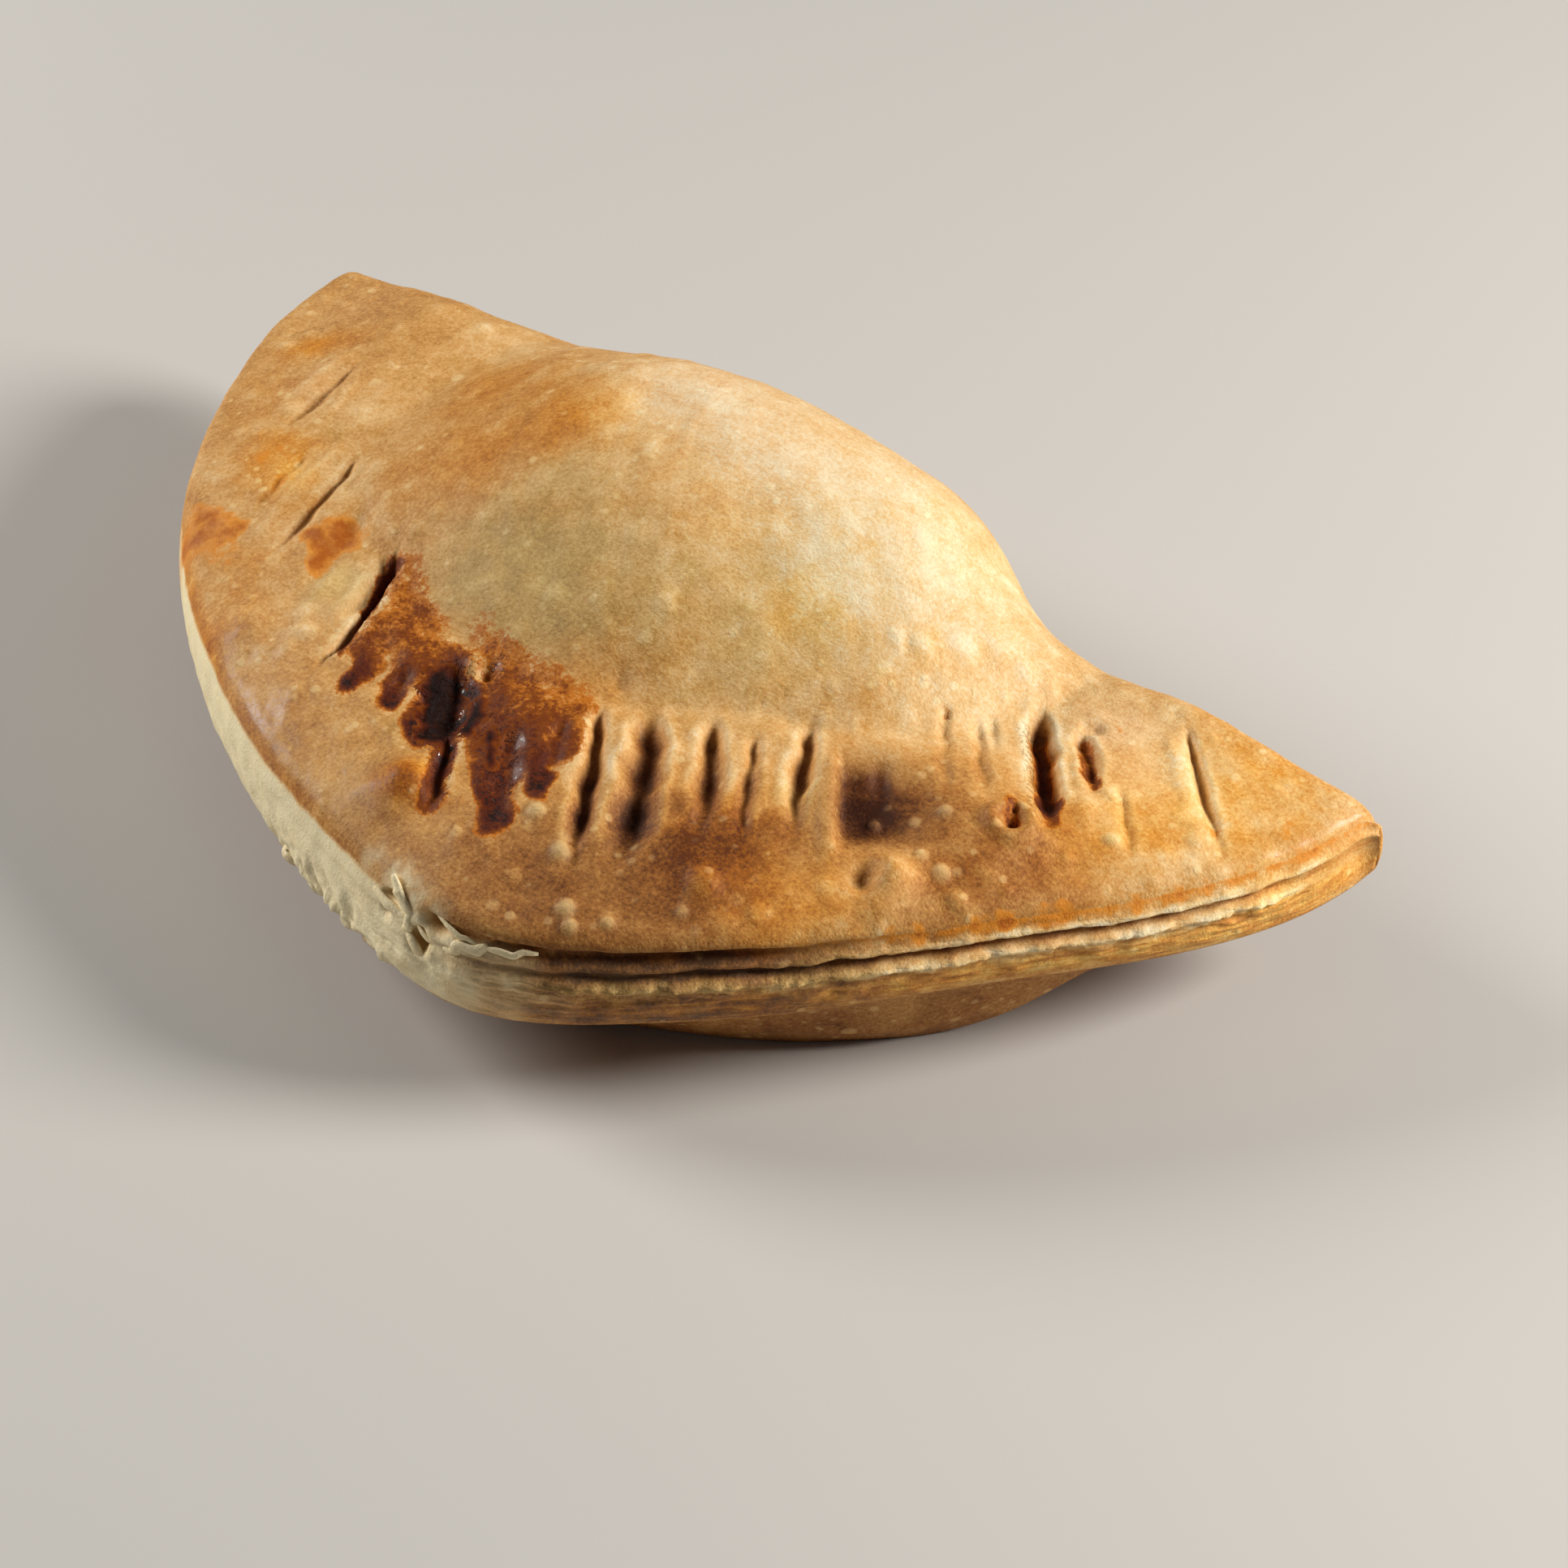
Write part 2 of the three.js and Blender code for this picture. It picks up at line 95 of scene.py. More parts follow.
# ---- Pressed marks: start x, y, end x, y, half width, depth (negative for a ridge), bend ----
MARK_START = (-0.04, 0.16)
MARK_END = (0.55, 1.08)
MARK_STEEPNESS = 3.0
MARK_NARROWEST = 0.6
MARK_VALLEY = SimpleNamespace(share=0.4, widening=2.6)
MARKS = [
    (-52.8, -16.4, -51.0, -31.0, 0.5, 0.5, 0.2), (-53.4, -17.0, -51.6, -30.6, 1.6, 0.4, 0.2),
    (-55.6, -14.8, -54.2, -28.4, 1.0, -0.3, 0.2), (-57.7, -16.7, -56.5, -21.3, 0.5, 0.25, 0.0),
    (-40.2, -28.6, -36.4, -47.0, 0.5, 0.75, 0.2), (-41.0, -30.0, -37.6, -46.6, 1.5, 0.45, 0.2),
    (-45.4, -31.2, -43.6, -41.6, 0.5, 0.45, 0.0), (-43.2, -29.0, -40.2, -46.6, 0.8, -0.4, 0.2),
    (-36.8, -28.6, -33.4, -46.6, 0.9, -0.4, 0.2), (-32.6, -34.6, -28.6, -50.6, 1.2, 0.45, 0.2),
    (-30.4, -37.0, -26.6, -53.0, 1.0, -0.35, 0.2), (-26.2, -46.5, -24.6, -58.0, 1.2, -0.35, 0.0),
    (-25.0, -38.6, -20.0, -56.0, 0.42, 1.7, 0.9), (-25.6, -39.6, -22.6, -49.6, 0.95, 1.1, 0.7),
    (-28.6, -41.0, -25.0, -52.8, 0.9, 0.3, 0.3), (-23.4, -38.6, -18.6, -54.0, 0.5, -0.3, 0.9),
    (-14.0, -49.0, -15.4, -55.4, 1.0, 0.6, 0.0),
    (-12.0, -50.4, -10.6, -55.9, 1.0, 0.7, 0.0), (-9.0, -46.8, -1.8, -55.9, 1.2, 1.5, 0.6),
    (-2.5, -54.5, 3.2, -63.6, 0.7, 1.2, 0.0), (2.7, -51.0, 9.8, -61.4, 1.2, 0.9, 0.0),
    (5.3, -46.8, 10.6, -55.8, 0.8, 0.7, 0.0), (6.9, -43.3, 18.8, -60.8, 0.85, 1.8, 0.3),
    (9.3, -42.5, 20.4, -59.0, 0.8, -0.35, 0.4), (10.9, -40.6, 22.6, -58.6, 1.45, 2.2, 0.75),
    (16.4, -37.4, 26.0, -50.4, 0.95, 1.6, 0.2), (21.0, -36.4, 29.4, -48.4, 0.75, 1.1, 0.0),
    (24.2, -31.8, 32.6, -44.8, 0.85, 1.6, -0.2), (28.5, -34.0, 38.4, -46.4, 1.0, -0.6, 0.0),
    (32.4, -22.0, 39.6, -30.4, 0.6, 0.5, 0.0), (34.4, -19.4, 43.3, -28.8, 0.6, 0.6, 0.0),
    (35.2, -17.6, 39.0, -22.7, 0.5, 0.4, 0.0), (36.8, -12.6, 49.4, -26.6, 1.0, 2.7, 0.0),
    (41.8, -12.2, 49.4, -19.6, 0.8, 1.4, 0.1), (41.3, -12.0, 43.8, -10.6, 0.5, 0.7, 0.0),
    (44.5, -16.2, 52.4, -24.6, 0.9, -0.5, 0.0), (49.8, -16.1, 57.4, -23.8, 0.45, 0.5, -0.2),
    (32.2, -31.2, 35.6, -35.3, 0.8, 0.4, 0.0),
    (48.9, -4.5, 62.6, -16.6, 0.5, 1.1, -0.2), (48.1, -6.6, 61.0, -17.8, 0.9, -0.5, 0.0),
]
MARK_WANDER = SimpleNamespace(reach=0.3, pitch=3, uneven=0.2, seeds=(31, 32))
MARK_RIDGE = SimpleNamespace(out=1.9, half=0.55, height=0.16, deepest=2)
# Two pits, each with a steep left side that levels out to the right: where that side starts and
# which way it runs, then distances across the pit from that side and along it
PITS = [
    SimpleNamespace(x=29.3, y=-34.3, angle=-50, depth=1.8, steep_side=(-0.5, 0.8), soft_side=(1.0, 12.0),
                    start=(-2.5, 2.5), end=(7.5, 12.0)),
    SimpleNamespace(x=-9.6, y=-52.2, angle=-45, depth=0.9, steep_side=(-0.3, 0.9), soft_side=(1.5, 6.0),
                    start=(-1.0, 1.0), end=(5.5, 8.0)),
]

# Broad swellings and hollows: x, y, radius, height
SWELLINGS = [
    (-1.6, -62.4, 2.6, 2.1), (-31, -55, 3.4, 1.3), (42.6, -41.4, 2.1, 2.0), (40.6, -43.2, 1.4, -1.2),
    (43.4, -44.6, 1.6, 0.8), (47, -29, 3.0, 0.8), (21, -49, 2.2, 0.5), (30, -54, 2.4, 0.7),
    (-6, -50, 6.0, -0.9), (6, -40, 2.6, -0.6), (-13.5, -14, 4.5, -0.7), (-20, -13, 4.0, 0.4),
    (-7.8, -46.9, 1.5, 0.6), (-21.5, -58.0, 4.0, 0.4), (10, -66, 5.0, 0.4), (45, -33, 3.0, 0.5),
]

# Blisters and pinholes of the crust: x, y, radius, height
PALE_BLISTERS = [
    (17.0, -59.9, 0.95, 0.6), (12.1, -58.0, 0.9, 0.55), (21.6, -64.1, 0.9, 0.6), (23.1, -65.2, 0.7, 0.5),
    (25.6, -62.6, 0.6, 0.4), (36.6, -37.2, 0.55, 0.5), (42.7, -37.6, 0.6, 0.5), (45.3, -37.7, 0.85, 0.5),
    (30.2, -57.4, 0.6, 0.35), (41.2, -32.3, 0.75, 0.4), (54.0, -22.9, 0.8, 0.45), (7.5, -64.1, 0.6, 0.35),
]
BLISTERS = PALE_BLISTERS + [
    (29.8, -54.1, 1.6, 0.4), (48.2, -38.8, 0.9, 0.3), (50.3, -18.2, 0.8, 0.3), (26.9, -19.0, 1.1, 0.3),
    (24.9, -20.4, 0.9, 0.3), (29.3, -15.1, 1.6, 0.3), (-24.1, -34.2, 0.9, 0.25), (-24.8, -36.4, 0.9, 0.25),
    (-4.9, -37.1, 1.1, 0.25), (5.6, -32.5, 1.1, 0.3), (2.0, -37.1, 0.9, 0.2), (33.6, -55.5, 1.2, 0.25),
    (35.6, -52.7, 1.0, 0.25), (23.0, -51.2, 1.3, 0.3), (38.5, -46.5, 0.9, 0.25), (15.2, -64.4, 0.8, 0.3),
]
PINHOLES = [
    (32.5, -21.9, 0.5, -0.9), (46.6, -29.0, 0.75, -1.6), (45.9, -27.6, 0.5, -1.2),
    (-5.6, -46.2, 1.0, -1.0), (6.3, -40.0, 0.7, -0.5), (20.2, -31.4, 0.35, -0.35),
    (22.0, -33.0, 0.3, -0.3), (19.0, -33.4, 0.3, -0.3), (13.5, -33.8, 0.3, -0.3),
]
RING_BLISTER = SimpleNamespace(x=46.6, y=-29.0, radius=2.0, half=0.75, height=0.75)
VENT_RING = SimpleNamespace(x=-5.8, y=-46.2, radius=1.6, half=0.8, height=0.3)
FRECKLES = SimpleNamespace(count=420, inside=(0.02, 0.96), radius=(0.4, 1.2), height=(0.04, 0.2), seed=11)
UNEVENNESS = [(11.0, 0.28, 21), (4.2, 0.17, 22), (1.7, 0.075, 23), (0.9, 0.025, 24)]

# ---- The open edge: rim angle, spread, share of the wall's height, half height, depth ----
LIP_RECESS = (298, 14, 0.1, 0.09, 1.6)
SEAM = (318, 36, 0.31, 0.05, 1.3)
# Torn holes with steep sides: rim angle, spread, share, half height, depth
HOLES = [(279.1, 1.15, 0.11, 0.11, 1.7), (277.8, 0.85, 0.38, 0.15, 1.7), (274.4, 0.9, 0.12, 0.06, 1.2),
         (287.2, 0.8, 0.05, 0.03, 0.8), (284.6, 0.6, 0.1, 0.04, 0.8), (274.0, 0.4, 0.32, 0.06, 0.6)]
# The lower sheet stands out or is tucked in: rim angle, spread, reach
SHEET_SHIFTS = [(281, 11, 1.0), (320, 18, -0.9)]
LOWER_SHEET_ROOT = 0.85
RAGGED = (266, 10, 1.25)
RAGGED_DOWN = (0.35, 0.9)
# Noise over the wall: height, pitch round the rim, waves down the wall, their start, seed
SEAM_WANDER = (0.03, 9, 0, 0, 41)
TEETH = [(1, 3.4, 3, 3, 42), (0.5, 1.3, 5, 7, 43)]
LAYER_WANDER = (1.3, 9, 2, 0, 44)
FINE_ROUGHNESS = (0.12, 0.8, 9, 0, 45)
COARSE_ROUGHNESS = (0.24, 2.8, 14, 0, 46)
PUFFS = (0.28, 3.2, 3, 0, 47)
# Rim angles between which things begin or end
PUFFED_FROM = (225, 240)
BEFORE_TIP = (344, 356)
OPEN_EDGE = SimpleNamespace(start=(262, 285), end=(346, 356))
LEDGES_FROM = (284, 296)
# Ledges of the front: share of the wall's height, half height, reach
LIP_LEDGE = (0.2, 0.04, 0.3)
MIDDLE_LEDGE = (0.43, 0.06, 0.45)
LAYERS = SimpleNamespace(count=8, height=0.09)
BRUSHED = SimpleNamespace(start=(0.3, 0.4), end=(0.5, 0.6), angle=(282, 287))

# ---- Grid of the crust ----
COLUMNS = 580
COLUMN_STEERING = 1.9
TIP_MARGIN = 0.0008
TOP_ROWS = 112
WALL_ROWS = 36
BASE_ROWS = 16
FOLD_ROWS = 6
TIP_MIDDLE = [TOP_ROWS + WALL_ROWS // 2, -(FOLD_ROWS // 2)]
ROW_WEIGHT = SimpleNamespace(border=0.9, foot=(0.4, 0.6), fold=3, fold_width=0.04, lip=4, lip_width=0.025)
BASE_ROW_WEIGHT = SimpleNamespace(ends=4, width=0.1)
FINE_STEPS = 4001

HALF_TURN = 180
FULL_TURN = 360
NEARLY_ZERO = 1e-6
LATTICE = 97
GRAIN_HEIGHT = 1.5
OCTAVES = 3


# ---- Small maths ----
def bell(x):
    return np.exp(-x * x)


def blend(x, low, high):
    """0 up to low, 1 from high, smooth between them."""
    share = np.clip((x - low) / (high - low), 0, 1)
    return share * share * (3 - 2 * share)


def round_rise(share):
    """A quarter circle's rise: 0 at the edge, 1 one radius further in."""
    return np.sqrt(1 - (1 - np.clip(share, 0, 1)) ** 2)


def arch(share):
    """A parabola that is 1 halfway and 0 at both ends."""
    return 4 * share * (1 - share)


def bump(x, y, place):
    """A bell of the place's height, by distance from it over its radius."""
    return place[3] * bell(np.hypot(x - place[0], y - place[1]) / place[2])


def around(angle, feature):
    """1 at the feature's rim angle, falling off as a bell over its spread."""
    return bell((angle - feature[0]) / feature[1])


def grain(u, v, seed):
    """Gradient noise of about -1 to 1: random slopes on a unit lattice, joined by quintic blends."""
    turns = np.random.default_rng(seed).uniform(0, 2 * np.pi, (LATTICE, LATTICE))
    column, row = np.floor(u), np.floor(v)
    right, up = u - column, v - row
    column, row = column.astype(int), row.astype(int)

    def corner(across, along):
        turn = turns[(column + across) % LATTICE, (row + along) % LATTICE]
        return np.cos(turn) * (right - across) + np.sin(turn) * (up - along)

    ease_right = right**3 * (right * (right * 6 - 15) + 10)
    ease_up = up**3 * (up * (up * 6 - 15) + 10)
    low = corner(0, 0) * (1 - ease_right) + corner(1, 0) * ease_right
    high = corner(0, 1) * (1 - ease_right) + corner(1, 1) * ease_right
    return GRAIN_HEIGHT * (low * (1 - ease_up) + high * ease_up)


def cloud(x, y, pitch, seed):
    """Three octaves of gradient noise, each with half the pitch and half the height of the last."""
    return sum(grain(x / pitch * 2**n, y / pitch * 2**n, seed + n) / 2**n for n in range(OCTAVES))


# ---- Outline and heights, by the solid's formulas ----
def bearing(x, y):
    return np.degrees(np.arctan2(y, x)) % FULL_TURN


def rim_angle(x, y):
    return bearing(x, np.minimum(y, -NEARLY_ZERO))


def strayed(radius, angle, strays):
    return radius + sum(stray[2] * around(angle, stray) for stray in strays)


def fold_line(x):
    """The fold: pushed out by the filling between two smooth steps, straight on at the tips."""
    bulge = FOLD_BULGE.reach * blend(x, *FOLD_BULGE.left) * (1 - blend(x, *FOLD_BULGE.right))
    return bulge + sum(reach * bell((x - place) / spread) for place, spread, reach in FOLD_STRAYS)


def sharp_outline(place):
    """Rim by angle for the first part of a turn, then back along the fold."""
    turn = place - np.floor(place)
    angle = HALF_TURN * (1 + turn / RIM_SHARE)
    radius = strayed(DISC_RADIUS, angle, RIM_STRAYS)
    fold_x = FOLD_HALF_LENGTH * (1 - 2 * (turn - RIM_SHARE) / (1 - RIM_SHARE))
    on_rim = turn < RIM_SHARE
    x = np.where(on_rim, radius * np.cos(np.radians(angle)), fold_x)
    return x, np.where(on_rim, radius * np.sin(np.radians(angle)), fold_line(fold_x))


def outline(place):
    """Weighted mean of the sharp outline over a short window, which rounds the tips."""
    steps = np.arange(-SMOOTHING_STEPS, SMOOTHING_STEPS + 1) / (SMOOTHING_STEPS + 1)
    weights = np.cos(steps * np.pi / 2) ** 2
    x, y = sharp_outline(place[:, None] + steps * TIP_ROUNDING)
    return (x * weights).sum(1) / weights.sum(), (y * weights).sum(1) / weights.sum()


def outline_edge(place):
    """Points of the outline, with the direction square to it and outwards."""
    x, y = outline(place)
    before_x, before_y = outline(place - TIP_ROUNDING / 2)
    after_x, after_y = outline(place + TIP_ROUNDING / 2)
    span = np.hypot(after_x - before_x, after_y - before_y)
    out_x, out_y = (after_y - before_y) / span, (before_x - after_x) / span
    return SimpleNamespace(x=x[:, None], y=y[:, None], out_x=out_x[:, None], out_y=out_y[:, None])


def from_rim(x, y):
    return strayed(DISC_RADIUS, rim_angle(x, y), RIM_STRAYS) - np.hypot(x, np.minimum(y, 0))


def from_fold(x, y):
    return fold_line(x) - y


def filled(x):
    return blend(x, *FILLED.left) * (1 - blend(x, *FILLED.right))


def tip_puff(x, y):
    return bump(np.abs(x), y, TIP_PUFF)


def edge_underside(x, y):
    return EDGE_UNDERSIDE + bump(x, y, RAISED_EDGE) - tip_puff(x, y)


def edge_thickness(x, y):
    return EDGE_THICKNESS + bump(x, y, THICK_EDGE) + bump(x, y, THIN_EDGE) + 2 * tip_puff(x, y)


def fold_height(x, y, side):
    share = side.thin + (side.filled - side.thin) * filled(x)
    return edge_underside(x, y) + edge_thickness(x, y) * share


def fold_rounding(x, y, side):
    return round_rise(from_fold(x, y) / (THIN_FOLD_RADIUS + side.radius * filled(x)))


def dome_share(x, y):
    """Distance from the dome's centre over its reach at that bearing, at most 1."""
    along_x, along_y = x - DOME_CENTRE[0], y - DOME_CENTRE[1]
    reach = strayed(DOME_REACH, bearing(along_x, along_y), DOME_STRAYS)
    return np.clip(np.hypot(along_x, along_y) / reach, 0, 1)


def flange_height(x, y):
    """The sealed border: up from the edge to the dome's foot, least along the two tips."""
    right = FLAT_RIGHT_TIP
    right_drop = right.drop * blend(x, *right.x) * blend(y, *right.y)
    left = FLAT_LEFT_TIP
    left_drop = left.drop * (1 - blend(x, left.x[1], left.x[0]))
    outward = 1 - np.clip(from_rim(x, y) / FLANGE_WIDTH, 0, 1)
    rise = (FLANGE_RISE - right_drop - left_drop) * (1 - outward**2)
    return edge_underside(x, y) + edge_thickness(x, y) + rise


def mark_frame(x, y, mark):
    """Share of the way along one pressed mark, distance across its bent middle line, and how much
    wider and deeper it is there than on average."""
    run_x, run_y = mark[2] - mark[0], mark[3] - mark[1]
    length = math.hypot(run_x, run_y)
    along = ((x - mark[0]) * run_x + (y - mark[1]) * run_y) / length
    across = ((x - mark[0]) * run_y - (y - mark[1]) * run_x) / length
    share = along / length
    bend = mark[6] * arch(np.clip(share, 0, 1))
    steps = along / MARK_WANDER.pitch
    wander = MARK_WANDER.reach * grain(steps, mark[0] + 0 * along, MARK_WANDER.seeds[0])
    uneven = 1 + MARK_WANDER.uneven * grain(steps, mark[1] + 0 * along, MARK_WANDER.seeds[1])
    return share, across + bend + wander, uneven


def pit_depth(x, y, pit):
    """A pit: a steep rise across its left side, a long soft one across its right side."""
    run_x, run_y = math.cos(math.radians(pit.angle)), math.sin(math.radians(pit.angle))
    along = (x - pit.x) * run_x + (y - pit.y) * run_y
    across = (y - pit.y) * run_x - (x - pit.x) * run_y
    sides = blend(across, *pit.steep_side) * (1 - blend(across, *pit.soft_side))
    return pit.depth * sides * blend(along, *pit.start) * (1 - blend(along, *pit.end))


def marked(x, y):
    """Depth of all pressed marks and pits, and the low ridges pushed up beside them. A mark is a
    crease in a shallow valley: pointed where it starts, deepest in the middle, fading at its end."""
    depth, ridge = sum(pit_depth(x, y, pit) for pit in PITS), 0
    for mark in MARKS:
        share, across, uneven = mark_frame(x, y, mark)
        run = blend(share, *MARK_START) * (1 - blend(share, *MARK_END))
        wide = MARK_NARROWEST + (1 - MARK_NARROWEST) * arch(np.clip(share, 0, 1))
        half, deep = mark[4] * wide * uneven, mark[5] * uneven
        crease = np.exp(-np.abs(across / half) ** MARK_STEEPNESS)
        valley = bell(across / (half * MARK_VALLEY.widening))
        depth = depth + deep * run * (crease + (valley - crease) * MARK_VALLEY.share)
        side = bell((np.abs(across) - MARK_RIDGE.out * half) / MARK_RIDGE.half)
        ridge = ridge + MARK_RIDGE.height * np.clip(deep, 0, MARK_RIDGE.deepest) * run * side
    return depth, ridge


def ring_bump(x, y, ring):
    """A ring-shaped swelling: a bell across the ring's own circle."""
    distance = np.hypot(x - ring.x, y - ring.y)
    return ring.height * bell((distance - ring.radius) / ring.half)


def flat_bell(x, y, place):
    """A blister: flatter on top and steeper at its foot than a bell."""
    distance = np.hypot(x - place[0], y - place[1]) / place[2]
    return place[3] * np.exp(-(distance**4))


def freckle_list():
    """Small blisters scattered over the crust by a seeded draw."""
    draw = np.random.default_rng(FRECKLES.seed)
    angle = draw.uniform(math.pi, 2 * math.pi, FRECKLES.count)
    radius = DISC_RADIUS * np.sqrt(draw.uniform(*FRECKLES.inside, FRECKLES.count))
    size = draw.uniform(*FRECKLES.radius, FRECKLES.count)
    height = draw.uniform(*FRECKLES.height, FRECKLES.count)
    return np.column_stack([radius * np.cos(angle), radius * np.sin(angle), size, height])


def blistered(x, y):
    """Height of all blisters together."""
    height = sum(flat_bell(x, y, place) for place in BLISTERS)
    for place in freckle_list():
        height = height + flat_bell(x, y, place)
    return height


def crust_relief(x, y):
    """Everything that stands on or is pressed into the crust."""
    depth, ridge = marked(x, y)
    height = ridge - depth + blistered(x, y)
    height = height + sum(bump(x, y, place) for place in SWELLINGS + PINHOLES)
    height = height + ring_bump(x, y, RING_BLISTER) + ring_bump(x, y, VENT_RING)
    return height + sum(tall * grain(x / pitch, y / pitch, seed) for pitch, tall, seed in UNEVENNESS)


def top_height(x, y, relief=None):
    """Flange, raised to the dome, rounded down to the fold and to the lip at the rim."""
    flange = flange_height(x, y)
    rise = (1 - dome_share(x, y) ** DOME_ROUNDNESS) ** DOME_FOOT
    relief = crust_relief(x, y) if relief is None else relief
    open_height = flange + (HEIGHT - flange) * rise + relief
    fold = fold_height(x, y, FOLD_TOP)
    at_tip = bump(x, y, ROUND_TIP.place)
    lip_rise = round_rise(from_rim(x, y) / (LIP_WIDTH + ROUND_TIP.width * at_tip))
    lip = (LIP_DROP + ROUND_TIP.drop * at_tip) * (1 - lip_rise)
    return fold + (open_height - fold) * fold_rounding(x, y, FOLD_TOP) - lip


def bottom_height(x, y):
    """Flat on the ground under the filling, rising to the underside of the sealed edge."""
    margin = BELLY_MARGIN + BELLY_OUTSET[2] * around(rim_angle(x, y), BELLY_OUTSET)
    over_base = blend(from_rim(x, y), EDGE_OVERHANG, margin)
    over_tips = blend(np.abs(x - BASE_MIDDLE), *BASE_REACH)
    open_height = edge_underside(x, y) * (1 - over_base * (1 - over_tips))
    fold = fold_height(x, y, FOLD_UNDERSIDE)
    return fold + (open_height - fold) * fold_rounding(x, y, FOLD_UNDERSIDE) + bump(x, y, RIGHT_TIP_RISE)


# ---- The open edge ----
def wall_bulge(edge, share):
    """The soft bulge of the sides, flatter round the right tip."""
    return WALL_BULGE * (1 - ROUND_TIP.flatness * bump(edge.x, edge.y, ROUND_TIP.place)) * arch(share)


def slot(angle, share, feature):
    """A dent in the wall: a bell around the rim times a bell down the wall."""
    return feature[4] * around(angle, feature) * bell((share - feature[2]) / feature[3])


def torn_holes(angle, share):
    """Depth of the torn holes: each flat-bottomed, by the fourth power of the distance across it."""
    depth = 0
    for place, spread, middle, half, deep in HOLES:
        distance = ((angle - place) / spread) ** 2 + ((share - middle) / half) ** 2
        depth = depth + deep * np.exp(-(distance**2))
    return depth


def edge_grain(arc, share, layer):
    """Noise over the wall, by distance round the rim and share of the wall's height."""
    height, pitch, waves, start, seed = layer
    return height * grain(arc / pitch, share * waves + start, seed)


def band(share, place):
    """1 at a share of the wall's height, falling off as a bell over a half height."""
    return bell((share - place[0]) / place[1])


def window(value, start, end):
    """0 outside, 1 inside, smooth over the two ranges."""
    return blend(value, *start) * (1 - blend(value, *end))


def wall_reach(rim, angle, share):
    """How far the wall stands out: a soft bulge, the recess under the lip, the wandering seam, the
    torn holes, the layers as a wave down the wall, and a ragged foot at the front left."""
    arc = np.radians(angle) * DISC_RADIUS
    wander = edge_grain(arc, share, SEAM_WANDER)
    before_tip = 1 - blend(angle, *BEFORE_TIP)
    ledges = blend(angle, *LEDGES_FROM)
    reach = wall_bulge(rim, share) - slot(angle, share, LIP_RECESS) - torn_holes(angle, share)
    reach = reach - before_tip * slot(angle, share + wander, SEAM)
    reach = reach + share * sum(shift[2] * around(angle, shift) for shift in SHEET_SHIFTS)
    teeth = sum(np.abs(edge_grain(arc, share, layer)) for layer in TEETH)
    reach = reach + RAGGED[2] * around(angle, RAGGED) * teeth * blend(share, *RAGGED_DOWN)
    reach = reach + arch(share) * edge_grain(arc, share, PUFFS) * blend(angle, *PUFFED_FROM)
    reach = reach + LIP_LEDGE[2] * band(share, LIP_LEDGE) * ledges
    reach = reach + MIDDLE_LEDGE[2] * band(share + wander, MIDDLE_LEDGE) * ledges * before_tip
    wave = share * LAYERS.count + edge_grain(arc, share, LAYER_WANDER)
    layers = LAYERS.height * np.sin(2 * np.pi * wave)
    brushed = window(share, BRUSHED.start, BRUSHED.end) * blend(angle, *BRUSHED.angle)
    fine = (1 + brushed) * edge_grain(arc, share, FINE_ROUGHNESS)
    rough = fine + edge_grain(arc, share, COARSE_ROUGHNESS)
    return reach + window(angle, OPEN_EDGE.start, OPEN_EDGE.end) * arch(share) * (layers + rough)


# ---- Grids ----
def spaced(count, weight):
    """Places from 0 to 1 whose density follows a weight."""
    fine = np.linspace(0, 1, FINE_STEPS)
    total = np.concatenate([[0], np.cumsum((weight(fine[1:]) + weight(fine[:-1])) / 2)])
    return np.interp(np.linspace(0, 1, count + 1), total / total[-1], fine)


def top_weight(place):
    """More rows over the pressed border than over the dome, most at the fold and the lip."""
    fold, lip = bell(place / ROW_WEIGHT.fold_width), bell((1 - place) / ROW_WEIGHT.lip_width)
    border = blend(place, *ROW_WEIGHT.foot)
    return 1 + ROW_WEIGHT.border * border + ROW_WEIGHT.fold * fold + ROW_WEIGHT.lip * lip


def base_weight(place):
    """More rows of the underside at the rim and at the fold."""
    ends = bell(place / BASE_ROW_WEIGHT.width) + bell((1 - place) / BASE_ROW_WEIGHT.width)
    return 1 + BASE_ROW_WEIGHT.ends * ends


def ring_faces(columns, rows):
    """Quads between neighbouring rings, and a fan over each end ring."""
    column, row = np.meshgrid(np.arange(columns), np.arange(rows), indexing="ij")
    following = (row + 1) % rows
    here, ahead = column * rows, (column + 1) * rows
    quads = np.stack([here + row, here + following, ahead + following, ahead + row], -1)
    left_tip, right_tip = (columns + 1) * rows, (columns + 1) * rows + 1
    edge, last = np.arange(rows), columns * rows
    after = (edge + 1) % rows
    left = np.stack([0 * edge + left_tip, after, edge], -1)
    right = np.stack([0 * edge + right_tip, last + edge, last + after], -1)
    return quads.reshape(-1, 4).tolist() + left.tolist() + right.tolist()


def make_piece(name, points, faces, fields, material):
    """A mesh of plan points in millimetres, moved into the frame, with its fields as attributes."""
    mesh = bpy.data.meshes.new(name)
    placed = (points + np.array([*PLAN_ORIGIN, 0])) * MM
    mesh.from_pydata(placed, [], faces)
    mesh.polygons.foreach_set("use_smooth", np.ones(len(faces), bool))
    for field, values in fields.items():
        layer = mesh.attributes.new(field, "FLOAT", "POINT")
        layer.data.foreach_set("value", np.asarray(values, np.float32).ravel())
    mesh.materials.append(material)
    mesh.update()
    piece = bpy.data.objects.new(name, mesh)
    bpy.context.collection.objects.link(piece)
    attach(piece, "root")
    return piece


# ---- What the crust looks like, as fields over the plan: x, y, radius, amount ----
TONE_START = 0.49
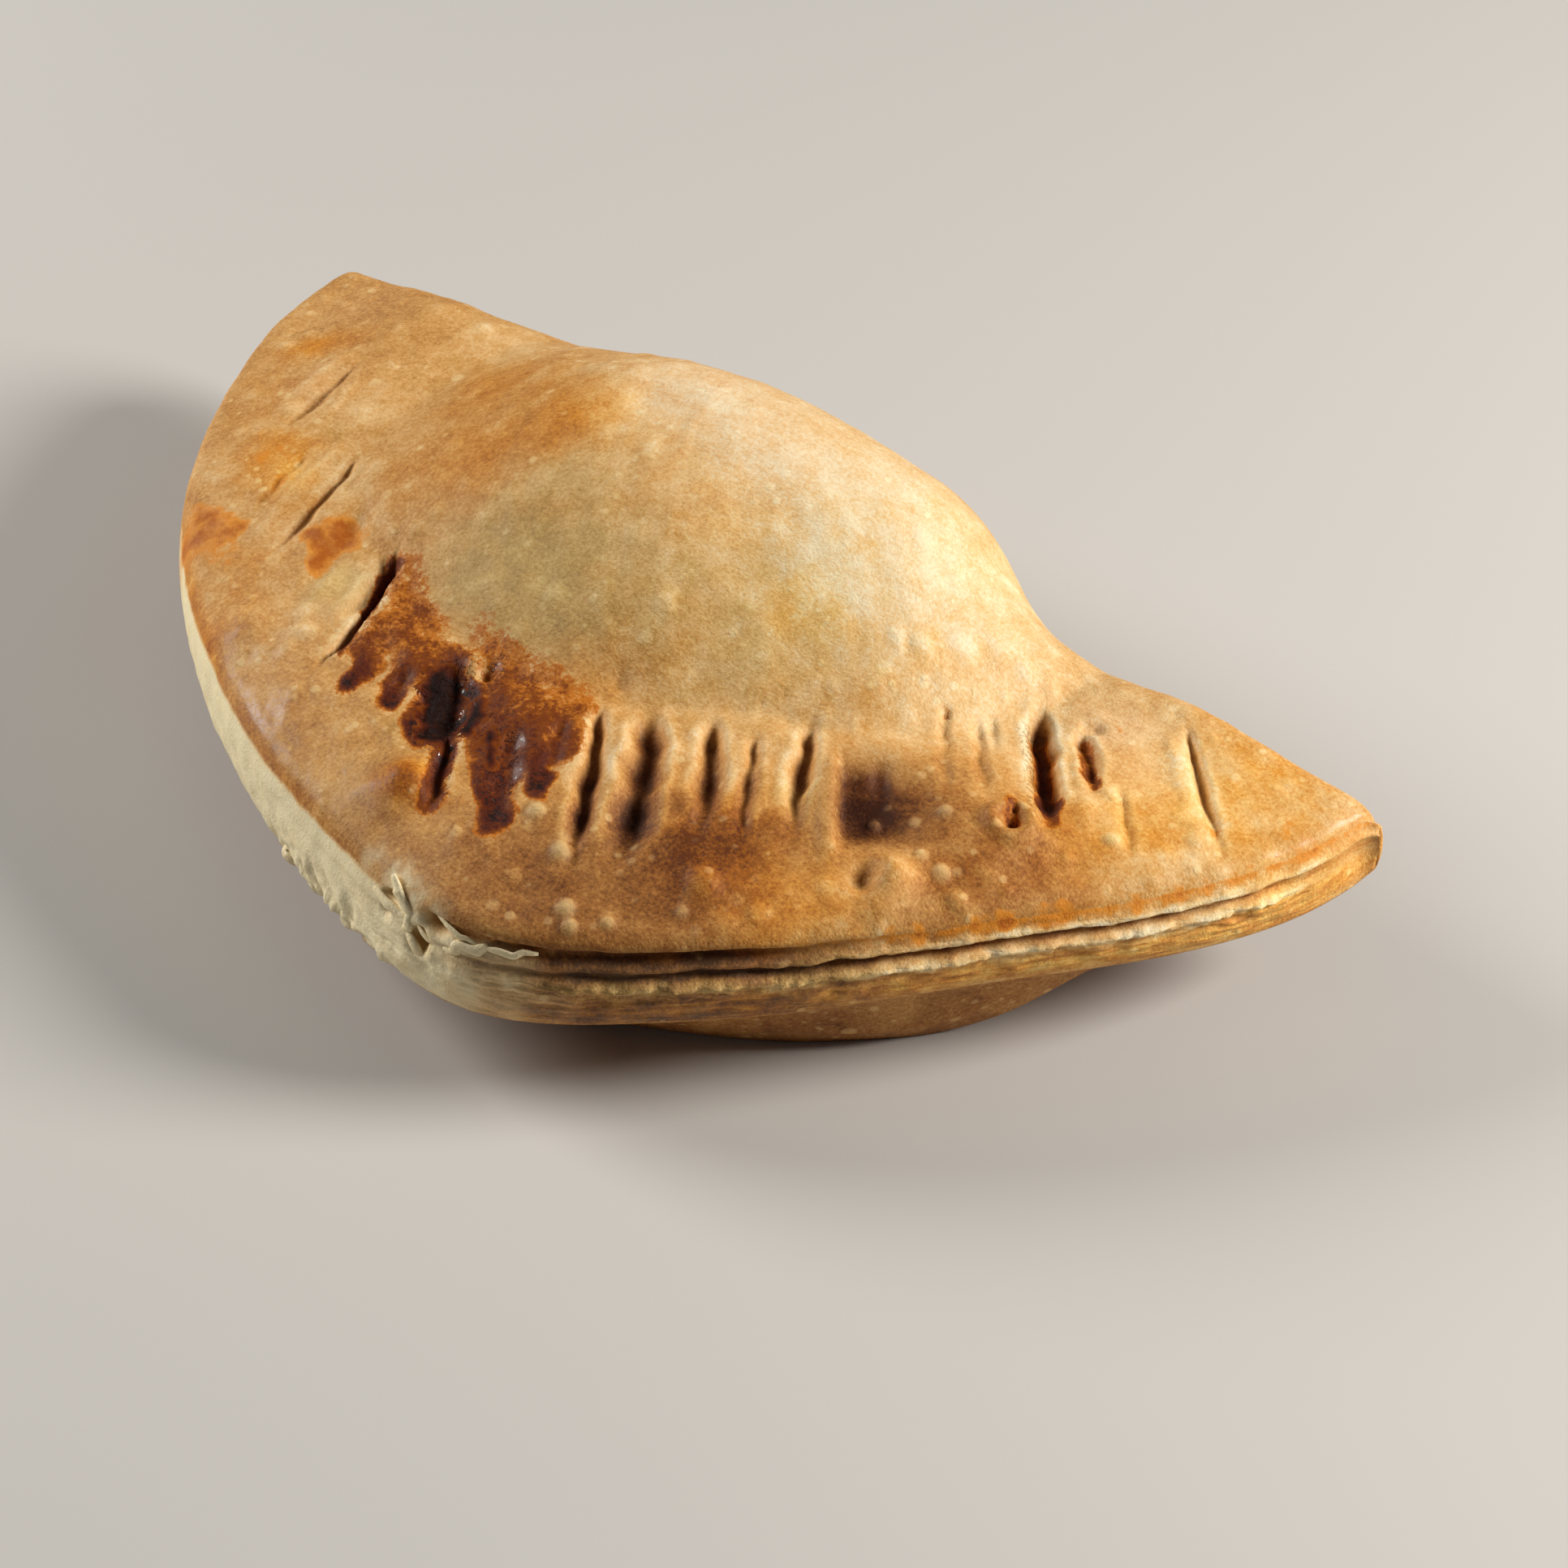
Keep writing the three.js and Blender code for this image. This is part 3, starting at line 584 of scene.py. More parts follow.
# Paler (negative) and browner places
TONES = [
    (-62, -6, 12, 0.05), (48, -36, 10, 0.05), (-2, -44, 12, 0.06),
    (22, -14, 17, -0.35), (6, -10, 14, -0.18), (-12, -10, 12, -0.24), (-21, -20, 8, 0.14),
    (-34, -14, 5, 0.12), (-30, -29, 6, 0.04), (-40, -6, 6, -0.12), (-46, -23, 5, -0.10),
    (-40, -34, 4, -0.10), (16, -64, 10, 0.30), (28, -55, 9, 0.30), (29, -47, 5, 0.26), (0, -30, 14, -0.05),
    # Over the larger pit the tone is darker, partly as painted shade, and on the lump below it paler as a
    # painted highlight
    (35.0, -36.6, 4.4, 0.26), (42.8, -41.0, 1.9, -0.25), (34.9, -31.4, 1.4, -0.16),
    (39, -33, 4.0, 0.25), (33, -44, 3, 0.16), (38, -48, 4, 0.02), (21, -50, 6, 0.16),
    (-26, -44, 4, -0.06), (38.5, -26, 3.5, 0.20), (47, -24, 3.5, 0.14), (50, -36, 9, 0.20),
    (56, -12, 12, -0.14), (45, -11, 5, -0.08), (-20, -62, 8, 0.08), (0, -68, 7, 0.12),
    (-1, -62.6, 3.2, 0.2), (-33, -57.5, 3, 0.14),
    (29, -40.5, 2.0, -0.22), (-60, -10, 9, 0.04), (-14, -14, 2.4, -0.12),
    (16, -56, 3, 0.08), (-7, -47, 3, 0.1),
]
# Hollows are darker, from browner dough and painted shade: over which depths, how much, and their mottling's
# amount, pitch and seed
HOLLOW_BROWN_AND_SHADE = SimpleNamespace(depths=(0.4, 2.4), amount=0.9, mottle=0.25, pitch=2.4, seed=62)
# Painted shade over the floor of the larger pit: x, y, radius, amount
PAINTED_PIT_SHADE = (35.3, -35.0, 5.0, 0.5)
# What relief adds to the tone: darker in hollows, partly as painted shade, paler on crests and blisters, and
# paler on the low ridges beside the marks as a painted highlight
RELIEF_TONE_AND_PAINTED_LIGHT = SimpleNamespace(hollow=0.26, crest=0.2, blister=-0.5, ridge=-0.9, tallest=0.5)
TONE_CLOUD = SimpleNamespace(amount=0.05, pitch=7, seed=61)
# Golden to orange places
GOLDS = [
    (60, -8, 13, 0.6), (48, -32, 12, 0.4), (28, -50, 8, 0.55), (-21, -20, 9, 0.55), (-34, -14, 6, 0.6),
    (-30, -29, 8, 0.4), (-61, -16, 3.2, 0.8), (-57, -12, 3, 0.3), (-49, -33, 5, 0.6), (-44, -36, 4, 0.5),
    (24, -20, 14, 0.05), (6, -28, 16, 0.3), (-1, -62.4, 3.6, 0.95), (-33, -56.5, 4, 0.5),
    (38, -50, 8, 0.5), (17, -25, 6, 0.3), (53, -20, 7, 0.2), (-57, -24, 5, 0.35),
    (12, -62, 8, 0.15), (-12, -36, 9, 0.3), (-40, -50, 8, 0.3),
]
# Olive to grey places
OLIVES = [
    (-14, -37, 7, 0.6), (-3, -38, 7, 0.5), (-10, -30, 10, 0.4), (8, -33, 9, 0.3), (-42, -12, 6, 0.3),
    (-44, -28, 5, 0.3), (-27, -46, 4, 0.5), (18, -30, 9, 0.25), (29, -40, 3, 0.5), (-6, -57, 5, 0.35),
    (20, -58, 8, 0.15), (48, -27, 3, 0.4), (24, -12, 12, 0.2),
]
# Rosy places, with fine striae
ROSY = [
    (-12, -9, 10, 0.6), (4, -14, 10, 0.5), (44, -10, 6, 0.6), (-62, -7, 8, 0.4), (-54, -22, 6, 0.4),
    (-30, -52, 8, 0.3), (14, -66, 10, 0.3), (-20, -60, 8, 0.3), (52, -15, 5, 0.3), (-38, -42, 5, 0.4),
]
# Floury, matt places
FLOURED = [(-14, -38, 7, 0.3), (-4, -38, 6, 0.2), (-24, -47, 4, 0.5)]
# Shiny places
SHINES = [
    (-22, -61, 8, 0.8), (-9, -60, 6, 0.7), (63, -6, 9, 0.7), (46, -9, 7, 0.5), (-31, -51, 6, 0.4),
    (66, -3, 6, 0.6), (4, -56, 8, 0.5), (36, -33, 4, 0.3), (8, -20, 22, 0.2), (60, -14, 6, 0.4),
]
# Orange scorched patches
SCORCHES = [
    (-48.9, -43.6, 2.4, 0.8), (-46.4, -46.6, 2.4, 1.0), (-44.2, -44.0, 2.2, 0.7), (-41.6, -47.6, 2.2, 0.6),
    (-32.6, -38.6, 2.2, 0.8), (-32.0, -41.2, 2.6, 1.0), (-31.0, -44.6, 1.5, 0.9), (-35.2, -41.4, 1.5, 0.8),
    (-60.8, -15.8, 2.2, 0.35), (-49.0, -33.4, 2.4, 0.4), (-44.0, -36.6, 2.2, 0.5), (-46.2, -32.4, 1.6, 0.3),
    (66.0, -8, 3.0, 0.2), (68.8, -3, 2.6, 0.2), (53.2, -8, 2.2, 0.3),
    (57, -5, 2.2, 0.35), (60.5, -14.6, 2.0, 0.4), (32.4, -21.8, 0.8, 0.7), (36.8, -12.4, 0.7, 0.5),
    (44.6, -8.6, 2.0, 0.3), (63.5, -8.5, 2.0, 0.4),
]
FOLD_LAYERS = SimpleNamespace(tip=(60, 67), band=(0.5, 0.4), amount=0.3)
# The crust's edge: how wide its line is, and the rim angles where it is scorched or browned
EDGE_LINE = 0.8
EDGE_SCORCH = SimpleNamespace(start=(296, 320), end=(346, 356), least=0.4, uneven=(0.6, 2, 0, 0, 73))
EDGE_BROWN = SimpleNamespace(start=(205, 225), end=(264, 273), least=0.12, uneven=(0.12, 3, 0, 0, 74),
                             gold=0.4)
SCORCH_FRAY = SimpleNamespace(amount=0.4, pitch=2.2, seed=71, where=(0.05, 0.3), fade=(0.15, 1.2))
SPOT_FLOUR = 1.6
DOUGH_FRAY = (1.2, 75)
# Raw dough showing where the crust's edge is torn
TORN_EDGE = [(5.6, -70.4, 1.5, 1.0), (8.6, -71.2, 1.3, 0.7), (1.6, -69.8, 1.2, 0.5), (11.5, -71.2, 1.0, 0.5)]
# Leaked filling baked into the crust: capsules from x, y to x, y, with a radius and how deeply brown
# they are at each end
STAINS = [
    (-22.6, -41.2, -16.5, -45.5, 2.5, 0.22, 0.34), (-17.8, -45.0, -17.2, -51.0, 2.5, 0.34, 0.44),
    (-17.2, -50.6, -15.3, -55.4, 1.3, 0.48, 0.80), (-15.0, -46.0, -11.5, -50.0, 2.6, 0.30, 0.48),
    (-12.6, -50.6, -10.6, -55.0, 1.3, 0.52, 0.84), (-10.0, -46.8, -7.0, -50.5, 1.8, 0.50, 0.95),
    (-7.6, -50.0, -4.8, -55.6, 2.3, 0.95, 1.00), (-5.4, -48.6, -3.6, -54.0, 1.4, 0.80, 1.00),
    (-4.4, -54.5, -0.6, -57.0, 1.2, 0.90, 0.84), (-1.4, -56.6, 2.6, -62.6, 1.1, 0.80, 0.52),
    (-10.0, -42.4, -6.5, -44.4, 1.5, 0.16, 0.24), (-6.4, -44.4, 4.4, -44.4, 2.2, 0.26, 0.26),
    (-3.0, -46.6, 3.5, -49.0, 2.8, 0.40, 0.46), (4.6, -45.4, 8.0, -50.5, 1.8, 0.34, 0.58),
    (2.5, -48.5, 5.6, -53.5, 2.2, 0.34, 0.58), (6.6, -52.0, 10.4, -55.6, 1.3, 0.66, 0.82),
    (1.0, -53.5, 9.7, -61.0, 1.7, 0.50, 0.84), (-2.0, -48.6, 1.4, -53.0, 1.8, 0.50, 0.56),
    (2.6, -50.0, 6.6, -56.0, 1.7, 0.50, 0.62),
    (-24.6, -39.8, -21.8, -46.4, 0.9, 0.60, 0.70), (-21.8, -45.4, -19.6, -52.5, 0.5, 0.66, 0.56),
    (39.6, -15.8, 47.4, -24.2, 0.9, 0.56, 0.74), (42.8, -13.4, 48.0, -18.2, 0.7, 0.40, 0.44),
    (45.0, -26.8, 46.8, -29.0, 0.8, 0.34, 0.36), (47.8, -24.6, 48.8, -25.8, 0.8, 0.44, 0.40),
]
STAIN_FRAY = SimpleNamespace(reach=0.7, pitch=2.6, seeds=(51, 54), fine=0.16, fine_pitch=1.6, fine_seed=57)
STAIN_MERGING = 6
STAIN_EDGE = (-0.4, 0.5)
WET_EDGE = (-0.1, 0.5)
# Wet and sticky places
WETS = [
    (-8.6, -47.5, -3.0, -53.0, 3.0), (-7.0, -53.0, -1.0, -57.0, 2.2), (0.6, -50.6, 6.5, -57.5, 2.6),
    (-5.6, -44.4, -3.5, -47.5, 1.2), (38.0, -15.6, 47.0, -25.4, 1.1), (-23.6, -41.0, -21.0, -48.0, 1.0),
    (-1.6, -56.0, 2.6, -61.0, 1.2),
]


def capsule(x, y, shape):
    """1 on a capsule's axis, 0 at its skin, negative outside, and the share of the way along it."""
    start_x, start_y, end_x, end_y, radius = shape
    run_x, run_y = end_x - start_x, end_y - start_y
    share = np.clip(((x - start_x) * run_x + (y - start_y) * run_y) / (run_x**2 + run_y**2), 0, 1)
    distance = np.hypot(x - start_x - share * run_x, y - start_y - share * run_y)
    return 1 - distance / radius, share


def stained(x, y):
    """How deeply leaked filling has browned the crust: a smooth union of its runs, over a plan that
    noise has pushed about so that their edges fray."""
    fray = STAIN_FRAY
    pushed_x = x + fray.reach * grain(x / fray.pitch, y / fray.pitch, fray.seeds[0])
    pushed_y = y + fray.reach * grain(x / fray.pitch, y / fray.pitch, fray.seeds[1])
    edge = fray.fine * cloud(x, y, fray.fine_pitch, fray.fine_seed)
    powers = 0 * x
    for *shape, start, end in STAINS:
        inside, share = capsule(pushed_x, pushed_y, shape)
        depth = (start + (end - start) * share) * blend(inside + edge, *STAIN_EDGE)
        powers = powers + depth**STAIN_MERGING
    return powers ** (1 / STAIN_MERGING)


def wetted(x, y):
    """1 in the sticky middle of the leak, fading out over its edges."""
    return blend(np.max([capsule(x, y, shape)[0] for shape in WETS], axis=0), *WET_EDGE)


def total(x, y, places):
    """All the places' bells together."""
    return sum(bump(x, y, place) for place in places)


def crust_fields(x, y):
    """Colour and finish of the crust over the plan."""
    depth, ridge = marked(x, y)
    blisters = np.clip(blistered(x, y), 0, RELIEF_TONE_AND_PAINTED_LIGHT.tallest)
    # Marks and pits are darker, from browner dough and painted shade, mottled
    hollow = HOLLOW_BROWN_AND_SHADE.amount * blend(depth, *HOLLOW_BROWN_AND_SHADE.depths) + bump(x, y, PAINTED_PIT_SHADE)
    hollow = np.clip(hollow * (1 + HOLLOW_BROWN_AND_SHADE.mottle * cloud(x, y, HOLLOW_BROWN_AND_SHADE.pitch, HOLLOW_BROWN_AND_SHADE.seed)), 0, 1)
    tone = TONE_START + total(x, y, TONES) + RELIEF_TONE_AND_PAINTED_LIGHT.hollow * hollow
    tone = tone + RELIEF_TONE_AND_PAINTED_LIGHT.crest * np.clip(depth, -1, 0) + RELIEF_TONE_AND_PAINTED_LIGHT.blister * blisters
    patches = cloud(x, y, TONE_CLOUD.pitch, TONE_CLOUD.seed)
    # The ridges beside the marks are paler as a painted highlight
    tone = tone + RELIEF_TONE_AND_PAINTED_LIGHT.ridge * ridge + TONE_CLOUD.amount * patches
    angle = rim_angle(x, y)
    line = bell(from_rim(x, y) / EDGE_LINE)
    browned = line * window(angle, EDGE_BROWN.start, EDGE_BROWN.end)
    tone = tone + browned * (EDGE_BROWN.least + edge_grain(angle, 0, EDGE_BROWN.uneven))
    edge = line * window(angle, EDGE_SCORCH.start, EDGE_SCORCH.end)
    edge = edge * (EDGE_SCORCH.least + edge_grain(angle, 0, EDGE_SCORCH.uneven))
    scorch = total(x, y, SCORCHES) + edge
    fray = SCORCH_FRAY.amount * cloud(x, y, SCORCH_FRAY.pitch, SCORCH_FRAY.seed)
    scorch = blend(scorch + fray * blend(scorch, *SCORCH_FRAY.where), *SCORCH_FRAY.fade)
    return dict(
        tone=tone,
        gold=total(x, y, GOLDS) + EDGE_BROWN.gold * browned,
        olive=total(x, y, OLIVES),
        rosy=total(x, y, ROSY),
        flour=total(x, y, FLOURED) + SPOT_FLOUR * sum(flat_bell(x, y, place) for place in PALE_BLISTERS),
        shine=np.clip(total(x, y, SHINES), 0, 1),
        scorch=scorch,
        stain=stained(x, y),
        wet=wetted(x, y),
        dough=np.clip(total(x, y, TORN_EDGE) * (1 + cloud(x, y, *DOUGH_FRAY)), 0, 1),
        layers=0 * x,
        hollow=hollow,
    )


# The open edge by rim angle: where the front's brown layers begin, how ragged that is, and where the
# golden right begins
WALL_FRONT = (277, 291)
WALL_FRONT_FRAY = (3, 4, 4, 0, 85)
WALL_RIGHT = (300, 326)
WALL_TIP = (338, 352)
# The crust's line at the top of the wall, as a share of its height, raised over the left
CRUST_LINE = SimpleNamespace(share=0.1, waves=[(0.05, 5, 0, 0, 81), (0.035, 1.3, 0, 0, 82)], soft=0.08)
RAISED_LINE = SimpleNamespace(amount=0.7, start=(225, 240), end=(275, 285))
LAYERED = SimpleNamespace(start=(214, 232), end=(350, 358), fading=0.7)
# Bands of the wall: share of its height, half height
FOOT = (0.85, 0.16)
PALE_BAND = (0.44, 0.08)
PALE_LIP = (0.2, 0.06)
GOLDEN_BAND = (0.74, 0.2)
GOLDEN_FROM = (284, 304)
SCORCHED_TOP = (0, 0.1)
SCORCHED_FOOT = (1, 0.08)
SCORCHED_FOOT_FROM = (330, 350)
SCORCH_WAVES = (0.7, 2.0, 0, 0, 83)
SHINY_FOOT = (296, 6, 0.6)
DEEPEST_SLOT = 1.5
# How much each stretch, band or dent adds; the brown front is darker partly as painted shade, and the dents
# of the seam and the recess under the lip are darker as painted shade
WALL_TONE = dict(all=0.06, front=0.34, brown_and_shade=0.36, foot=0.06, recess_shade=0.4, pale=-0.22, holes=0.3)
WALL_GOLD = dict(all=0.05, front=0.3, golden=0.55, tip=0.4, pale=-0.3, foot=0.3, holes=0.5)
WALL_OLIVE = dict(brown_and_shade=0.3, pale=0.3, holes=0.7)
WALL_SCORCH = dict(scorched_top=0.6, scorched_foot=0.3)
WALL_STREAKS = (0.2, 3.0, 6, 0, 84)
# How far the front is baked through, how layered the left still looks, and how much painted shade darkens
# the seam and the recess under the lip
FRONT_BAKED = 0.92
LEFT_LAYERS = 0.12
PAINTED_RECESS_SHADE = 0.7
RAW_CLOUD = SimpleNamespace(amount=0.12, pitch=4.0, waves=9, seed=86)


def weighed(amounts, parts):
    """The parts that have an amount, each times that amount, together."""
    return sum(amount * parts[name] for name, amount in amounts.items())


def wall_parts(angle, share, arc):
    """1 or less for each stretch, band and dent of the open edge."""
    front = blend(angle + edge_grain(arc, share, WALL_FRONT_FRAY), *WALL_FRONT)
    right = blend(angle, *WALL_RIGHT)
    # The front stretch is brown baked layers, darkened further as painted shade
    brown_and_shade = front * (1 - right)
    waves = SCORCH_WAVES[0] + edge_grain(arc, share, SCORCH_WAVES)
    return dict(
        all=1,
        front=front,
        brown_and_shade=brown_and_shade,
        tip=blend(angle, *WALL_TIP),
        foot=band(share, FOOT) * brown_and_shade,
        pale=band(share, PALE_BAND) * front + band(share, PALE_LIP) * right,
        golden=band(share, GOLDEN_BAND) * blend(angle, *GOLDEN_FROM),
        # Painted shade in the dents of the seam and the recess under the lip
        recess_shade=(slot(angle, share, SEAM) + slot(angle, share, LIP_RECESS)) / DEEPEST_SLOT,
        holes=np.clip(torn_holes(angle, share) / DEEPEST_SLOT, 0, 1),
        scorched_top=band(share, SCORCHED_TOP) * blend(angle, *EDGE_SCORCH.start) * waves,
        scorched_foot=band(share, SCORCHED_FOOT) * blend(angle, *SCORCHED_FOOT_FROM) * waves,
    )


def wall_fields(angle, share, x, y):
    """Colour and finish of the open edge: browned at the crust line, pale raw dough on the left, deep brown
    layers at the front darkened further as painted shade, painted shade in the seam and the recess under the
    lip, and a pale band over a golden one on the right."""
    arc = np.radians(angle) * DISC_RADIUS
    top = crust_fields(x, y)
    parts = wall_parts(angle, share, arc)
    front, holes = parts["front"], parts["holes"]
    line = CRUST_LINE.share + sum(edge_grain(arc, share, wave) for wave in CRUST_LINE.waves)
    line = line * (1 - RAISED_LINE.amount * window(angle, RAISED_LINE.start, RAISED_LINE.end))
    layered = blend(angle, *LAYERED.start) * (1 - LAYERED.fading * blend(angle, *LAYERED.end))
    layered = layered * blend(share, line, line + CRUST_LINE.soft)
    keep = 1 - layered
    tone = weighed(WALL_TONE, parts) + edge_grain(arc, share, WALL_STREAKS)
    raw_cloud = cloud(arc, share * RAW_CLOUD.waves, RAW_CLOUD.pitch, RAW_CLOUD.seed)
    tone = tone + RAW_CLOUD.amount * (1 - front) * raw_cloud
    return dict(
        tone=top["tone"] * keep + tone * layered,
        gold=top["gold"] * keep + weighed(WALL_GOLD, parts) * layered,
        olive=top["olive"] * keep + weighed(WALL_OLIVE, parts) * layered,
        rosy=top["rosy"] * keep,
        flour=0 * arc,
        shine=top["shine"] * keep + SHINY_FOOT[2] * parts["foot"] * around(angle, SHINY_FOOT),
        scorch=np.clip(top["scorch"] * keep + weighed(WALL_SCORCH, parts), 0, 1),
        stain=top["stain"] * (1 - share),
        wet=0 * arc,
        dough=np.maximum(layered * (1 - FRONT_BAKED * front) * (1 - holes), top["dough"] * keep),
        layers=layered * (LEFT_LAYERS + (1 - LEFT_LAYERS) * front),
        # The wall's hollows carry painted shade from the seam and the recess under the lip
        hollow=np.clip(PAINTED_RECESS_SHADE * parts["recess_shade"], 0, 1),
    )


# The underside's tone: browned, and dark partly as painted shade under the belly
BASE_BROWN_AND_SHADE = SimpleNamespace(tone=0.8, uneven=0.1, pitch=9, seed=91, rim=-0.2, rim_width=5, gold=0.15)


def base_fields(x, y):
    """The underside, evenly browned where it lay on the tray and darkened further as painted shade."""
    base = BASE_BROWN_AND_SHADE
    tone = base.tone + base.uneven * cloud(x, y, base.pitch, base.seed)
    tone = tone + base.rim * bell(from_rim(x, y) / base.rim_width)
    names = ("olive", "rosy", "flour", "shine", "scorch", "stain", "wet", "dough", "layers", "hollow")
    return dict(tone=tone, gold=base.gold + 0 * x, **{name: 0 * x for name in names})


def fold_fields(x, y, up):
    """The folded side: crust, with the layers of the open edge carried round each tip."""
    fields = crust_fields(x, y)
    layered = FOLD_LAYERS.amount * blend(np.abs(x), *FOLD_LAYERS.tip) * band(up, FOLD_LAYERS.band)
    fields["layers"] = layered
    fields["gold"] = fields["gold"] + layered
    return fields


def make_pastry(material):
    """One closed skin: rings from the fold over the top to the rim, down the wall, back under the
    base to the fold and up it, from the left tip to the right tip, with a fan over each end."""
    share = TIP_MARGIN + (1 - 2 * TIP_MARGIN) * np.linspace(0, 1, COLUMNS + 1)
    rim = outline_edge(RIM_SHARE * share)
    fold = outline_edge(1 - (1 - RIM_SHARE) * share**COLUMN_STEERING)
    angle = rim_angle(rim.x, rim.y)

    def plan(places):
        return fold.x + (rim.x - fold.x) * places, fold.y + (rim.y - fold.y) * places

    top_x, top_y = plan(spaced(TOP_ROWS, top_weight)[None, :])
    top_z = top_height(top_x, top_y)

    down = np.linspace(0, 1, WALL_ROWS + 1)[None, 1:-1]
    reach = wall_reach(rim, angle, down)
    wall_x, wall_y = rim.x + rim.out_x * reach, rim.y + rim.out_y * reach
    rim_bottom = bottom_height(rim.x, rim.y)
    wall_z = top_z[:, -1:] + (rim_bottom - top_z[:, -1:]) * down

    inward = 1 - spaced(BASE_ROWS, base_weight)[None, :]
    base_x, base_y = plan(inward)
    base_z = bottom_height(base_x, base_y)
    spread = wall_reach(rim, angle, 1) * blend(inward, LOWER_SHEET_ROOT, 1)
    base_x, base_y = base_x + rim.out_x * spread, base_y + rim.out_y * spread

    up = np.linspace(1, 0, FOLD_ROWS + 2)[None, 1:-1]
    swell = wall_bulge(fold, up) * (1 - filled(fold.x))
    fold_x, fold_y = fold.x + fold.out_x * swell, fold.y + fold.out_y * swell
    fold_z = top_z[:, :1] + (bottom_height(fold.x, fold.y) - top_z[:, :1]) * up

    x = np.hstack([top_x, wall_x, base_x, fold_x])
    y = np.hstack([top_y, wall_y, base_y, fold_y])
    z = np.hstack([top_z, wall_z, base_z, fold_z])
    grid = np.stack([x, y, z], -1)
    rows = x.shape[1]
    tips = [grid[0, TIP_MIDDLE].mean(0), grid[-1, TIP_MIDDLE].mean(0)]
    points = np.vstack([grid.reshape(-1, 3), *tips])

    sections = [
        crust_fields(top_x, top_y),
        wall_fields(angle + 0 * down, down + 0 * angle, rim.x + 0 * down, rim.y + 0 * down),
        base_fields(base_x, base_y),
        fold_fields(fold_x, fold_y, up),
    ]
    depth_down = np.hstack([0 * top_x, down + 0 * angle, 1 + 0 * base_x, up + 0 * fold_x])
    fields = {name: np.hstack([part[name] for part in sections]) for name in sections[0]}
    fields["around"] = np.radians(angle) * DISC_RADIUS + 0 * x
    fields["down"] = depth_down * EDGE_THICKNESS
    fields = {name: np.append(values, [values[0, TIP_MIDDLE].mean(), values[-1, TIP_MIDDLE].mean()])
              for name, values in fields.items()}
    piece = make_piece("folded_pastry", points, ring_faces(COLUMNS, rows), fields, material)
    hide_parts("pastry")
    return piece


# ---- Materials ----
STRIAE_TURN = math.radians(-35)
STRIAE_STRETCH = (0.3, 1.4, 1.0)


def colour(red, green, blue):
    """A display colour of 0 to 255 as linear light, with full alpha."""
    shares = [part / 255 for part in (red, green, blue)]
    linear = [part / 12.92 if part <= 0.04045 else ((part + 0.055) / 1.055) ** 2.4 for part in shares]
    return (*linear, 1.0)


class Amount:
    """A node's output. Arithmetic on it adds Math nodes."""

    def __init__(self, paint, socket):
        self.paint = paint
        self.socket = socket

    def maths(self, operation, first, second):
        return self.paint.add("ShaderNodeMath", {"operation": operation}, {0: first, 1: second})

    def __add__(self, other):
        return self.maths("ADD", self, other)

    def __sub__(self, other):
        return self.maths("SUBTRACT", self, other)

    def __rsub__(self, other):
        return self.maths("SUBTRACT", other, self)

    def __mul__(self, other):
        return self.maths("MULTIPLY", self, other)

    __radd__ = __add__
    __rmul__ = __mul__

    def between(self, low, high):
        """0 up to low, 1 from high, smooth between them."""
        settings = {"interpolation_type": "SMOOTHSTEP"}
        sockets = {"Value": self, "From Min": low, "From Max": high}
        return self.paint.add("ShaderNodeMapRange", settings, sockets)

    def output(self, name):
        """Another output of the same node."""
        return Amount(self.paint, self.socket.node.outputs[name])

    def clamped(self):
        return self.paint.add("ShaderNodeClamp", {}, {"Value": self})


